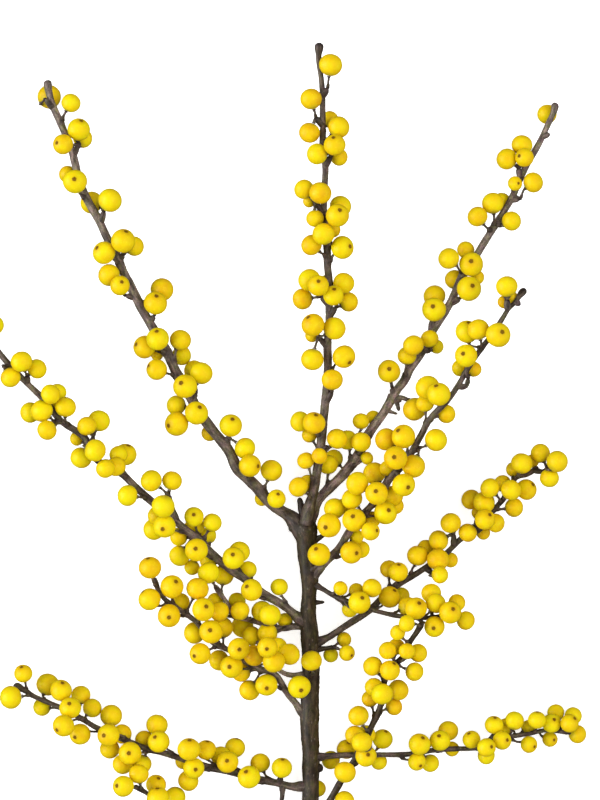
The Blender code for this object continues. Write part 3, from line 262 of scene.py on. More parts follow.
SPRAYS["right_spray"] = {
    "height": (18.6, 34, 38), "tone": (0.7, 0.1, 0.05), "club": 1.7, "width": (3.3, 1.8),
    "route": [
        (-0.5, 86), (2.1, 91), (5.5, 94.5), (8.8, 97.7), (12, 101), (14, 104.5), (18.5, 111.5),
        (22.5, 115.5), (28.5, 122.5), (31, 127), (33.5, 130.5), (36.5, 132.8), (39, 136), (42, 141.5),
        (45.2, 147.3), (46.9, 151), (49.5, 154.3), (55.2, 160), (59.7, 166.6), (63.2, 172.8),
        (67.6, 179.3), (73.3, 187), (77.9, 194), (79.3, 196.6), (82, 198.8), (84.6, 202.9), (86.5, 204.3)],
    "side": [
        [(23, 116), (21.8, 113.6)], [(41.2, 140), (43.6, 140.8)],
        [(59.2, 165.6), (62.4, 165.3), (63.3, 168.6)], [(79.2, 196.4), (78.7, 200.4)],
        [(82.4, 199.4), (84.1, 197.8)]],
    "berries": [
        (16.5, 99, 8.6, 1, 18.8, 98.7), (20.6, 100.2, 6.6, -1), (24.2, 107.5, 7.2, 1, 27, 107.8),
        (17.6, 112, 9, 1, 17.1, 113.6), (25, 112.2, 6.4, -1), (18.6, 105.3, 5.6, -1),
        (30.2, 114.8, 8.8, 1, 31.6, 116), (26.7, 122.6, 8.8, 1, 26.3, 123.6), (18.9, 126.7, 8.8, 0),
        (16.8, 120.4, 8, 0), (33.2, 121.6, 8, -1), (34.3, 117.6, 6.4, -1), (37.5, 126, 8.8, 1, 39.4, 125),
        (25.7, 130.7, 8.6, -1), (31.2, 132.6, 6.4, -1), (34.2, 136.8, 9, 1, 33.6, 137.2),
        (41.5, 133.5, 9, 0), (30.4, 144.3, 8.6, -1), (37.4, 145.4, 9.2, 0, 35.1, 148), (50.4, 144, 8.8, 1),
        (54.6, 154.4, 7.2, -1), (47, 164.9, 9.4, 0), (51.5, 162.3, 9, 1, 50.4, 165.9),
        (46, 158.6, 6.8, -1), (62.4, 177.7, 8.6, 1, 61.1, 178.6), (60, 172.8, 6.4, -1),
        (65.5, 172.3, 6, -1), (62.8, 187.3, 8.8, 0, 63.5, 191.2), (67.3, 188.2, 8.2, 1),
        (75.3, 186, 9.4, 1, 77, 187.3), (78.7, 205.4, 8.2, 1), (80.8, 201, 4.8, -1), (77.6, 199.2, 5, -1)]}
SPRAYS["middle_right_spray"] = {
    "height": (16.6, 14.5, 16), "tone": (0.2, 0.15, 0.14), "width": (2.9, 1.8),
    "route": [
        (0, 61), (3.5, 63.3), (7.8, 65.3), (11.8, 68), (16.8, 71.3), (20.8, 73.7), (24.8, 76.7),
        (31, 83.2), (35.1, 86), (41.1, 89.6), (46.3, 93), (50.5, 96), (54.8, 99), (59.8, 104),
        (63.5, 106.2), (67.8, 108), (70.3, 111), (72.9, 115.3), (78.2, 121.3), (80.3, 125), (82.2, 129),
        (86.5, 130), (89, 131.5), (91.3, 133.3)],
    "side": [
        [(46.3, 93), (48.8, 90.8)], [(57.6, 101.8), (57.5, 106.6)], [(67.8, 108), (66.2, 110.4)],
        [(89.5, 132), (93.1, 131.3), (95.2, 132.3)]],
    "berries": [
        (31.8, 81.2, 8.4, 1, 34, 84), (36.5, 81.7, 6.6, -1), (35.3, 91.2, 7.6, 1, 35.6, 94.3),
        (31.6, 92.4, 7, 0), (43, 97.7, 8, 1), (46.3, 100.8, 6.6, -1), (51.4, 103.8, 7.8, 1),
        (51.2, 96.2, 8.6, 1), (52, 90, 6.6, 1), (56.3, 96, 5.8, -1), (56.3, 110.8, 8, 1),
        (63.1, 106.9, 7.2, 1), (69.3, 107, 5.6, -1), (70, 112.2, 8, 1, 72.1, 114.2), (74.3, 110.8, 7.2, 0),
        (67.2, 114.8, 5, -1), (69.6, 119, 8.4, 0, 70, 122.3), (64.5, 120.2, 7.8, -1), (72, 124.8, 7.6, 0),
        (77, 126.6, 6.6, -1), (80.4, 124, 8, 1), (86.6, 124.2, 8, 0, 89.4, 126.3), (81.6, 117, 7.4, 0),
        (84.7, 134.6, 8.2, 1), (81.5, 132.2, 6, -1), (88.8, 135.5, 5.4, -1), (92.1, 138.7, 7.6, 0),
        (98.9, 135.4, 8.4, 1), (95.8, 128.8, 7.4, 0)]}
SPRAYS["small_right_spray"] = {
    "height": (18.3, 27, 30), "tone": (0.15, 0.12, 0.02), "width": (2, 1.7),
    "route": [
        (0, 87), (3.5, 85.3), (6.8, 83.3), (10.8, 81), (14.5, 79.7), (19.5, 78), (24.5, 76.2),
        (32.1, 74.2), (38.1, 73.2), (46.6, 72.8), (51, 73.3), (54.5, 74.4)],
    "berries": [
        (12.2, 84.7, 5.6, 1), (18.5, 83.7, 6, -1), (19.8, 79, 8.6, 1, 21, 81), (24.8, 84.8, 7.4, 0),
        (16, 76.3, 6.4, -1), (42.4, 76.6, 8.6, 1, 43.8, 78.9), (39.2, 77.2, 7.8, -1),
        (48.5, 82.7, 7.6, -1), (50.3, 78.7, 7.8, 0), (56.1, 75, 8.6, 1, 57.3, 76.5), (58.8, 79, 6.6, -1),
        (62.3, 71.8, 7.2, -1), (49.8, 69.3, 8, 1, 49.4, 68.7)]}
SPRAYS["lower_right_spray"] = {
    "height": (11.6, 22, 38), "tone": (0.05, 0, 0.08), "width": (2.8, 2.1),
    "route": [
        (0.5, -13), (4.5, -5.5), (8.1, 0), (12.5, 7.7), (17.5, 15.3), (21.5, 22.5), (24.8, 29.7),
        (27.8, 36.3), (29, 42), (29.9, 48), (32.8, 53.5), (36.6, 56.5), (38.3, 60), (40.2, 63.5),
        (43.1, 67.7), (45, 71.2)],
    "berries": [
        (38.7, 70.6, 6.4, 1), (35.1, 67, 6, 1), (31.1, 59.8, 7, 1), (34.6, 61.3, 6.5, -1),
        (38.8, 59.5, 6.4, 1), (43.3, 58.8, 7.2, -1), (25.1, 53.5, 7.6, 1), (32, 51.8, 7.8, 1, 33.8, 54.7),
        (41.8, 51.3, 7.2, 0), (25.5, 45.3, 7, 0), (35.4, 44, 8, -1), (28.8, 42.4, 8.4, 1),
        (24, 40.5, 6.6, -1), (33.6, 37.3, 6.6, -1), (19.4, 33.7, 8, 0), (17.8, 26, 7.4, 0),
        (22.4, 26.2, 7.4, -1), (20.8, 23, 8, 1), (14, 11.1, 8.4, 1), (22.4, 17.6, 8.2, 1, 23.3, 18.2),
        (13.9, -0.4, 7.8, 0)]}
SPRAYS["low_right_spray"] = {
    "height": (13.7, 13.5, 9), "tone": (0.3, 0.35, -0.12), "width": (2.4, 1.6),
    "route": [
        (0, 16.5), (4, 17.3), (12, 17.9), (18.1, 18), (26.8, 18.1), (39.5, 18.3), (49.8, 20), (58.8, 20.5),
        (66.1, 20.8), (73, 23), (80.1, 25.3), (88.1, 26.5), (93.1, 27.8), (100.1, 27.4), (103.6, 26.8)],
    "side": [
        [(71, 22.3), (73.8, 26.3)], [(98.5, 27.6), (101, 29.4)]],
    "berries": [
        (8.3, 16, 7.2, -1), (14.6, 20.3, 7.6, -1, 15.5, 23), (29.1, 24.4, 7.8, 0, 30.5, 27.5),
        (27.6, 15.3, 6.4, -1), (43.8, 22.3, 8.4, 1, 45.3, 25), (42.8, 15.3, 7, 1, 44.3, 13.5),
        (48.1, 14.7, 7, -1), (52, 23.8, 8, 1, 51.6, 25.8), (55.3, 27.7, 7.8, -1), (56.8, 20.4, 5.8, -1),
        (64.6, 24.2, 7, 0, 63.5, 26.7), (70.6, 21, 7.2, 1, 72.8, 21.3), (70.5, 17.7, 6.8, -1),
        (73.6, 30, 7.2, 0, 74.1, 33), (76.8, 23.8, 7.2, 1, 79.1, 24), (77.1, 28.2, 5.5, -1),
        (78.3, 29.4, 6.4, -1), (81.8, 31.7, 7.4, 1), (87.6, 22.2, 6.6, 0, 90, 21.2), (87.5, 29, 6, -1),
        (90.8, 32, 7, 1, 91.1, 35.3), (96.6, 30.7, 7.4, 1, 97.8, 32.3), (98.3, 35, 6.6, -1),
        (96, 24.3, 6, -1, 97.8, 24), (103.8, 30.7, 7.2, 1, 106.1, 32.7), (105.3, 33.7, 6.8, -1),
        (107, 26.3, 7, -2)]}
SPRAYS["middle_left_spray"] = {
    "height": (17.3, 25, 30), "tone": (0.55, 0.5, -0.12), "width": (3.5, 2.3),
    "route": [
        (-1, 70), (-4.5, 72.7), (-7.9, 75.7), (-11.9, 78.7), (-18.9, 82.7), (-26.5, 88.7), (-32.9, 93),
        (-39.9, 99.3), (-44.2, 104.2), (-48.5, 107), (-51.9, 110), (-57.5, 114.5), (-63.2, 119.3),
        (-70.2, 125.7), (-74.9, 130.3), (-79.5, 133), (-84.8, 135.5), (-87.8, 139.5), (-89.3, 144),
        (-92.5, 147), (-97.1, 149.8), (-100, 152), (-104.5, 158), (-107.5, 161.3), (-113.3, 166.8),
        (-119.5, 173.2), (-124, 178.5), (-128, 184), (-131.5, 190), (-132.5, 194)],
    "side": [
        [(-53, 110.9), (-56.5, 122)], [(-87.9, 140.5), (-86.6, 145.6)], [(-99.5, 151.6), (-102.6, 151.4)],
        [(-113.3, 166.8), (-113.2, 170)], [(-118.5, 172.2), (-122.8, 173.8)]],
    "berries": [
        (-12.3, 85.2, 6.8, 0), (-23.4, 84, 8.4, 1, -25.4, 85.5), (-24.9, 92, 7, -1),
        (-30.6, 96.8, 8.6, 1, -30.9, 98.3), (-28.2, 99.3, 8.2, -1), (-45.4, 100, 8.8, 1, -45.8, 100.6),
        (-52.2, 97.7, 8, -1), (-47.2, 93, 6, -1), (-52.5, 105.3, 7, -1), (-40.6, 96, 7, -1),
        (-40.7, 105.8, 6.4, -1), (-39, 111, 7.2, 0), (-46.4, 113.3, 7.6, 0, -46.5, 114.2),
        (-46.2, 109.3, 7.8, -1), (-58.2, 109.5, 8.8, 1, -59, 108.3), (-62.5, 108.2, 8.2, -1),
        (-58.7, 117.5, 8.8, 1), (-61.2, 113.6, 7.4, -1), (-55.2, 127.7, 7.6, 0), (-63.5, 127.7, 8.4, 1),
        (-73, 121.8, 8, 1), (-81.8, 132.6, 7.4, 1), (-77.6, 133.4, 7.6, 0),
        (-73.8, 138.2, 8.6, -1, -72.6, 142), (-76.6, 138.2, 7, -1), (-85.9, 139.8, 8.4, 1),
        (-91.6, 136.9, 8.2, 0), (-93.2, 144.6, 5.6, -1), (-89.3, 149.6, 7.4, 1), (-84.3, 151.7, 8.4, 0),
        (-97.8, 157.2, 8, 1), (-103.8, 162.3, 7.6, 1), (-101, 163, 7, -1), (-107.3, 155.7, 8.6, 1),
        (-111.9, 155, 8, 0), (-103.2, 157.8, 6.6, -1), (-105.2, 148, 7.6, 1), (-119.8, 169, 7.8, 1),
        (-115.4, 175.3, 8.2, 1), (-109.2, 172.5, 7.6, 0), (-126.5, 190, 7.8, 1), (-134.6, 185.5, 8, 0),
        (-136.8, 193.6, 8, -1), (-130.6, 198.6, 8.4, 1)]}
SPRAYS["inner_left_spray"] = {
    # Its pale bark at the foot is in part painted light, raised to make up for the shade of the sprays that
    # lie over it.
    "height": (14.8, 18, 19), "tone": (1.1, 0.8, -0.08), "width": (2.3, 1.8),
    "route": [
        (-1.5, 69.8), (-4.5, 69.5), (-8, 69), (-12.5, 68.5), (-18, 70.2), (-24.5, 72.2), (-31, 73.6),
        (-32.4, 77.7), (-34.7, 80.9), (-38.2, 86)],
    "berries": [
        (-40.6, 90.8, 8.4, 1), (-34.6, 90, 8, -1), (-37.9, 79.6, 6.4, -1), (-36.2, 75.4, 7.8, 0),
        (-29.2, 79.7, 6.6, -1), (-28, 75.7, 7.4, 1), (-27, 69.4, 8.6, -1), (-23.4, 65.7, 7.6, 0),
        (-19.4, 75.6, 8, 0), (-16, 74, 8.4, 1), (-17, 66.6, 8, 1), (-10, 71.8, 6, -1)]}
SPRAYS["lower_left_spray"] = {
    "height": (14.8, 22, 26), "tone": (0.6, 0.65, 0.08), "width": (2.8, 1.8),
    "route": [
        (-1, 32), (-3.9, 36), (-6.2, 39.3), (-9.2, 42.8), (-11.9, 47.6), (-14.2, 50.6), (-18.5, 51.9),
        (-21.5, 52.9), (-25, 54.8), (-29, 57.8), (-33, 60.2), (-38.2, 62.6), (-41.8, 66.5), (-45.2, 71),
        (-51, 75.3), (-57, 79.3), (-60.3, 83), (-61.5, 86.7), (-62.4, 89)],
    "berries": [
        (-64, 92.9, 8.6, 1, -64.9, 96.8), (-64.2, 80.3, 8.6, 1, -67.4, 83.8),
        (-56.4, 73.7, 8.8, 1, -56.4, 73), (-55.2, 85.3, 9, 1, -53.5, 87.5), (-51.9, 79, 7.4, -1),
        (-45, 84.5, 8.6, 0), (-42.6, 76.2, 8.8, 1, -41.4, 77.5), (-46.2, 66.9, 8.4, -1),
        (-39.6, 67.3, 9, 1, -40, 68), (-35.2, 69, 8.5, -1), (-44, 58.5, 8.2, 1, -46.5, 57.5),
        (-36.4, 55.9, 8, -1), (-31.4, 53.3, 8.8, 1, -32.3, 53.3), (-27.6, 51.2, 7.6, -1),
        (-28.5, 60.5, 8.4, 1, -28.2, 60.2), (-24.2, 43.9, 8, -1), (-17.4, 46, 8.4, 1, -17.3, 44.6)]}
SPRAYS["short_left_spray"] = {
    "height": (15.8, 24, 33), "tone": (0.8, 0.8, 0.1), "width": (2.2, 1.7),
    "route": [
        (-0.5, 50), (-3.5, 50), (-8, 49.9), (-12, 51.6), (-15.5, 55.5), (-18.5, 60), (-21, 63)],
    "berries": [
        (-22.4, 57.8, 8.2, -1, -20.5, 60.2), (-17, 61, 7.8, 1, -17.3, 60.4),
        (-14.5, 55.3, 8.4, 0, -14.7, 58.7), (-12.6, 61.6, 6.6, -1), (-8.2, 58.3, 8.2, 0)]}
SPRAYS["low_left_spray"] = {
    "height": (12.8, 15.5, 10.2), "tone": (0.4, 0.1, 0), "club": 1.7, "width": (3.1, 1.8),
    "route": [
        (-0.5, 5.6), (-3.5, 5.5), (-7.2, 5.4), (-13.9, 7), (-19.2, 8), (-29.5, 10.7), (-41.2, 13.3),
        (-51.2, 16.5), (-57.9, 18.7), (-66.5, 20.9), (-73.5, 23.8), (-85.5, 29), (-92, 33), (-101.5, 37.7),
        (-110.1, 41.3), (-115.4, 44.6), (-118.6, 46)],
    "side": [
        [(-11, 6.3), (-11.3, 0), (-13.2, -6)], [(-12.2, 6.6), (-11.7, 9.6)]],
    "berries": [
        (-119.7, 41, 8.8, 1), (-114.7, 50.6, 7.1, 0, -115.5, 53.3), (-107.2, 37.2, 7, -1),
        (-104.9, 46.2, 8.8, -2), (-99.6, 43.9, 8.4, 1, -99, 47), (-95.9, 36.8, 8.4, 1, -96.3, 38.7),
        (-91.6, 42, 7.4, -1), (-87.1, 36.8, 7.4, -1), (-98.6, 29.7, 8.4, 1, -101.5, 27.8),
        (-92, 26.3, 8.2, 0, -94.2, 25), (-79.5, 33.8, 8.6, -1), (-80.6, 26, 8.6, 1, -82.6, 25.8),
        (-75.2, 26.4, 7.6, -1), (-80.1, 20.4, 7.6, -1), (-72, 18.7, 8.8, 1, -72.5, 18.8),
        (-75, 14.3, 7.8, 0), (-67.3, 14.4, 7.6, -1), (-61.2, 30, 8.4, -1),
        (-60.5, 23.3, 8.4, 1, -62.2, 25.3), (-66.4, 24.2, 7, -1), (-48.4, 20.3, 8.8, 1, -48.2, 24),
        (-41.5, 20, 7.8, -1, -41, 23.5), (-46.5, 12.7, 8.2, 1, -45.7, 12.2), (-48.7, 7.7, 8, 0),
        (-50.6, 15.6, 6.4, -1), (-35.8, 17.6, 7.6, -1), (-33, 15.2, 8.4, 1, -33.2, 15.8),
        (-29.9, 21, 7.8, -1, -29.2, 24.7), (-24.4, 9.2, 8.8, 1, -25.7, 11.5), (-19.9, 14.8, 7.6, -1),
        (-11.3, 12.9, 8, 0, -11, 16.3), (-16.5, -9.2, 8, 1), (-9.6, -7.6, 7.4, 0)]}
SPRAYS["bottom_left_spray"] = {
    "height": (10.4, 17, 22), "tone": (0.3, 0.3, -0.08), "width": (2.5, 1.8),
    "route": [
        (0, -28), (-4, -25.2), (-16, -20.5), (-30, -15.5), (-44, -8.5), (-55, -3.2), (-65.2, 2.7),
        (-70.5, 5.7)],
    "berries": [
        (-74.7, 5.5, 8.2, 1, -77.5, 5.7), (-68.5, 10.4, 7.6, 1), (-61.6, 6.2, 7.8, -1, -60.5, 8.8),
        (-60.8, 0.8, 8.6, 1, -61.2, 4.7), (-53.9, 1.3, 8, -1), (-46.5, -13.6, 8.2, 1), (-40.5, -4.4, 8, 0),
        (-33, -20.4, 8.4, 0), (-26, -10.6, 8, 1), (-19, -25.6, 7.8, -1)]}


def seen_to_true(x, y, z):
    """Where a point that reads at x, y lies when it is z above the surface."""
    nearer = 1 - (z - READING_HEIGHT) / EYE_RANGE
    return EYE_X + (x - EYE_X) * nearer, EYE_Y + (y - EYE_Y) * nearer


def unit(v):
    return v / max(np.linalg.norm(v), 1e-9)


def range_to(points, place):
    """How far each of the points is from a place."""
    return np.linalg.norm(points[:, :3] - place, axis=1)


def length_to(path):
    """How far along a path each of its points is."""
    return np.concatenate([[0], np.cumsum(np.linalg.norm(np.diff(path, axis=0), axis=1))])


def rows_at(stops, along, rows):
    """The rows along a path, read at the given stops."""
    return np.stack([np.interp(stops, along, column) for column in rows.T], axis=1)


def bell(x):
    """1 where x is 0, and next to nothing where it is 2 or more either way."""
    return np.exp(-x ** 2)


def turns(count):
    """Even turns round a circle."""
    return 2 * math.pi * np.arange(count) / count


def round_about(turn, across, over):
    """The directions at the given turns round a line, from two directions across it."""
    return across[..., None, :] * np.cos(turn)[:, None] + over[..., None, :] * np.sin(turn)[:, None]


def any_across(v):
    """A unit direction at right angles to v."""
    helper = (0.0, 0.0, 1.0) if abs(v[2]) < 0.9 * np.linalg.norm(v) else (1.0, 0.0, 0.0)
    return unit(np.cross(v, helper))


def smooth_route(points, step):
    """Even steps along a curve through the given points, as rows of x and y."""
    points = list(np.array(points, dtype=float))
    ends = [2 * points[0] - points[1]] + points + [2 * points[-1] - points[-2]]
    curve = []
    for a, b, c, d in zip(ends, ends[1:], ends[2:], ends[3:]):
        for t in np.arange(0, 1, 0.125):
            curve.append(0.5 * (2 * b + (c - a) * t + (2 * a - 5 * b + 4 * c - d) * t ** 2
                                + (3 * b - a - 3 * c + d) * t ** 3))
    curve = np.array(curve + [points[-1]])
    along = length_to(curve)
    return rows_at(np.linspace(0, along[-1], max(2, int(round(along[-1] / step)) + 1)), along, curve)


def lay_twigs(spray):
    """The spine of a spray and of its side twigs: x, y as read, z and half width in rows."""
    flat = smooth_route(spray["route"], SPINE_STEP)
    t = np.linspace(0, 1, len(flat))
    chords = np.linalg.norm(np.diff(np.array(spray["route"], dtype=float), axis=0), axis=1)
    stops = np.concatenate([[0], np.cumsum(chords)]) / np.sum(chords)
    if len(spray["width"]) == 2:
        stops = stops[[0, -1]]
    width = np.interp(t, stops, spray["width"])
    base, middle, tip = spray["height"]
    z = base * (1 - t) * (1 - 2 * t) + middle * 4 * t * (1 - t) + tip * t * (2 * t - 1)
    spines = [np.column_stack([flat, z, width / 2])]
    for points in spray.get("side", ()):
        flat = smooth_route(points, SPINE_STEP / 2)
        near = spines[0][np.argmin(np.hypot(*(spines[0][:, :2] - flat[0]).T))]
        rise = np.linspace(0, SIDE_TWIG_SLOPE * SPINE_STEP * len(flat) / 2, len(flat))
        width = np.linspace(SIDE_TWIG_WIDTH, SIDE_TWIG_WIDTH * SIDE_TWIG_TAPER, len(flat))
        spines.append(np.column_stack([flat, near[2] + rise, np.minimum(width, 2 * near[3]) / 2]))
    return spines


def all_posts(twigs):
    """The points of all the spines, each with the number of its spray and of its twig in it."""
    return np.array([[*row, number, p] for number, parts in enumerate(twigs.values())
                     for p, part in enumerate(parts) for row in part])


def shortage(need, x, y, side, rise):
    """How much more two things have to differ in height, for each pair that is x, y apart."""
    flat = np.hypot(x, y)
    short = np.sqrt(np.maximum(need ** 2 - flat ** 2, 0)) - side * rise
    return np.where(need > flat, np.maximum(short, 0), 0)


def lay_berries(twigs):
    """Heights for all berries, so that none touches another, a twig or the surface.

    Each berry keeps the place in which it is seen and its side of what it overlaps, in front
    or behind, and moves only towards or away from the eye.
    """
    own = np.array([n for n, spray in enumerate(SPRAYS.values()) for berry in spray["berries"]])
    rows = np.array([berry[:4] for spray in SPRAYS.values() for berry in spray["berries"]], dtype=float)
    x, y, width, place = rows.T
    size = width / 2 * SOLID_SWELL
    post = all_posts(twigs)
    starts = np.cumsum([0] + [len(part) for parts in twigs.values() for part in parts])
    across = np.hypot(x[:, None] - post[:, 0], y[:, None] - post[:, 1])
    nearest = np.argmin(np.where(own[:, None] == post[:, 4], across, 1e6), axis=1)
    resting = place == -2
    low = np.where(resting, width / 2 * REST_DEPTH, size + 0.2)
    wish = np.maximum(post[nearest, 2] + np.array(PLACE_RISE)[(place + 2).astype(int)], low)
    wish[resting] = low[resting]
    key = wish + 0.1 * size

    i, j = np.nonzero(np.triu(np.hypot(x[:, None] - x, y[:, None] - y) < size[:, None] + size + 2, 1))
    need = size[i] + size[j] + np.where(own[i] == own[j], BERRY_GAP, SPRAY_GAP)
    side = np.where(key[i] >= key[j], 1.0, -1.0)
    upper = np.where(side > 0, i, j)
    lower = np.where(side > 0, j, i)
    b, p = np.nonzero(across < size[:, None] + post[:, 3] + 2)
    post_need = size[b] + post[p, 3] + np.where(own[b] == post[p, 4], BERRY_GAP, SPRAY_GAP)
    passing = np.zeros_like(across)
    for first, last in zip(starts, starts[1:]):
        beside = first + np.argmin(across[:, first:last], axis=1)
        passing[:, first:last] = np.where(key >= post[beside, 2], 1.0, -1.0)[:, None]
    post_side = passing[b, p]
    post_x, post_y = seen_to_true(*post.T[:3])

    z = wish.copy()
    for sweep in range(SWEEPS):
        true_x, true_y = seen_to_true(x, y, z)
        short = shortage(need, true_x[i] - true_x[j], true_y[i] - true_y[j], side, z[i] - z[j])
        post_short = shortage(post_need, true_x[b] - post_x[p], true_y[b] - post_y[p], post_side,
                              z[b] - post[p, 2])
        up = np.zeros(len(z))
        down = np.zeros(len(z))
        np.maximum.at(up, upper, short * 0.5)
        np.maximum.at(down, lower, short * 0.5)
        np.maximum.at(up, b, np.where(post_side > 0, post_short, 0))
        np.maximum.at(down, b, np.where(post_side < 0, post_short, 0))
        pull = 0.08 * max(0, 1 - 1.6 * sweep / SWEEPS)
        z = np.maximum(z + 0.8 * (up - down) + pull * (wish - z), low)
        z[resting] = low[resting]
    return own, np.column_stack([*seen_to_true(x, y, z), z]), width / 2


def stalk_foot(centre, radius, spines, rivals):
    """The point of the spray's own twigs from which a stalk reaches the berry most freely."""
    best = (math.inf, None)
    for part in spines:
        for k in range(2 if part is spines[0] else 1, len(part)):
            foot = part[k, :3]
            run = centre - foot
            reach = np.linalg.norm(run)
            bare = reach - radius - part[k, 3]
            if reach < 0.5 or bare > LONGEST_STALK:
                continue
            ahead = part[min(k + 1, len(part) - 1), :3] - part[max(k - 1, 0), :3]
            forward = np.dot(run, ahead) / (reach * np.linalg.norm(ahead))
            cost = abs(bare - STALK_LENGTH) * (1.6 if bare < STALK_LENGTH else 1.0)
            cost += 2.0 * max(0, 0.25 - forward)
            begin = foot + run / reach * min(part[k, 3], reach)
            line = centre - run / reach * radius - begin
            for posts, room, weight in rivals:
                offset = posts[:, :3] - begin
                t = np.clip(offset @ line / max(line @ line, 1e-9), 0, 1)
                miss = np.linalg.norm(offset - t[:, None] * line, axis=1) - posts[:, 3] - room
                cost += weight * float(np.sum(np.maximum(-miss, 0)))
            if cost < best[0]:
                best = (cost, foot)
    return best[1]


def lay_out():
    """Everything's true place in millimetres: twigs and berries by spray, and the twigs' points."""
    read = {name: lay_twigs(spray) for name, spray in SPRAYS.items()}
    own, centres, radii = lay_berries(read)
    twigs = {name: [np.column_stack([*seen_to_true(*part.T[:3]), part[:, 2:]]) for part in parts]
             for name, parts in read.items()}
    posts = all_posts(twigs)
    solid = np.column_stack([centres, radii * SOLID_SWELL])
    berries = {name: [] for name in SPRAYS}
    for n, (number, centre, radius) in enumerate(zip(own, centres, radii)):
        name = list(SPRAYS)[number]
        close = range_to(centres, centre) < NEIGHBOURHOOD
        close[n] = False
        other = (posts[:, 4] != number) & (range_to(posts, centre) < NEIGHBOURHOOD)
        rivals = (solid[close], BERRY_ROOM, BERRY_WEIGHT), (posts[other], POST_ROOM, POST_WEIGHT)
        berries[name].append((centre, radius, stalk_foot(centre, radius, twigs[name], rivals)))
    return twigs, berries, posts


def put_in_scene(name, data):
    """A new object in the scene that holds the given data."""
    thing = bpy.data.objects.new(name, data)
    bpy.context.scene.collection.objects.link(thing)
    return thing


class Heap:
    """Points, faces and the values kept at each point, gathered for one piece."""

    def __init__(self, *values):
        self.points = []
        self.faces = []
        self.values = {name: [] for name in values}
        self.count = 0

    def loft(self, rings, start, end, **values):
        """A closed skin over rings of points, with one point closing each end.

        Each value holds one number for each ring's points, then those of the two end points.
        """
        rows, sides = rings.shape[:2]
        self.points += [rings.reshape(-1, 3), np.array([start, end])]
        here = self.count + np.arange(rows * sides).reshape(rows, sides)
        beside = np.roll(here, -1, axis=1)
        self.count += rows * sides + 2
        quads = np.stack([here[:-1], beside[:-1], beside[1:], here[1:]], axis=-1)
        self.faces += quads.reshape(-1, 4).tolist()
        for tip, a, b in (self.count - 2, beside[0], here[0]), (self.count - 1, here[-1], beside[-1]):
            self.faces += np.column_stack([np.full(sides, tip), a, b]).tolist()
        for name, store in self.values.items():
            body, ends = values[name]
            kind = np.shape(ends)[1:]
            body = np.broadcast_to(np.asarray(body, dtype=float), (rows, sides) + kind)
            store += [body.reshape((-1,) + kind), np.asarray(ends, dtype=float)]

    def piece(self, name, look):
        """The mesh object, moved from the reading grid to the part's own origin."""
        points = np.concatenate(self.points)
        points[:, 2] = np.maximum(points[:, 2], 0.01)
        points -= (MIDDLE_X, MIDDLE_Y, 0)
        mesh = bpy.data.meshes.new(name)
        mesh.from_pydata((points * MM).tolist(), [], self.faces)
        for key, store in self.values.items():
            table = np.concatenate(store).astype(np.float32)
            kind, field = ("FLOAT_VECTOR", "vector") if table.ndim == 2 else ("FLOAT", "value")
            mesh.attributes.new(key, kind, "POINT").data.foreach_set(field, table.ravel())
        mesh.shade_smooth()
        mesh.materials.append(look)
        mesh.validate()
        return put_in_scene(name, mesh)


def frames(path):
    """Directions along and across a path at each point, turned as little as possible."""
    ahead = np.gradient(path, axis=0)
    ahead /= np.linalg.norm(ahead, axis=1)[:, None]
    across = np.empty_like(ahead)
    across[0] = any_across(ahead[0])
    for k in range(1, len(path)):
        across[k] = unit(across[k - 1] - ahead[k] * np.dot(across[k - 1], ahead[k]))
    return ahead, across, np.cross(ahead, across)


def resample(rows, step):
    """Rows along a spine at even steps, on a smooth curve through them, closer at the tip."""
    along = length_to(rows[:, :3])
    even = np.linspace(0, along[-1], max(4, int(round(along[-1] / step)) + 1))
    fine = rows_at(even, along, rows)
    for _ in range(2):
        fine[1:-1] = fine[1:-1] * 0.5 + (fine[:-2] + fine[2:]) * 0.25
    tail = along[-1] - np.array([0.45, 0.22, 0.08, 0.0])
    stops = np.concatenate([even[:-1], tail[tail > even[-2]]])
    return rows_at(stops, even, fine), stops


def way_out(path, along, others):
    """How far along a twig its middle line leaves the wood it grows from."""
    gap = np.linalg.norm(path[:, None] - others[:, :3], axis=2) - others[:, 3]
    free = gap.min(axis=1) > 0
    return along[np.argmax(free)] if free.any() else along[-1]


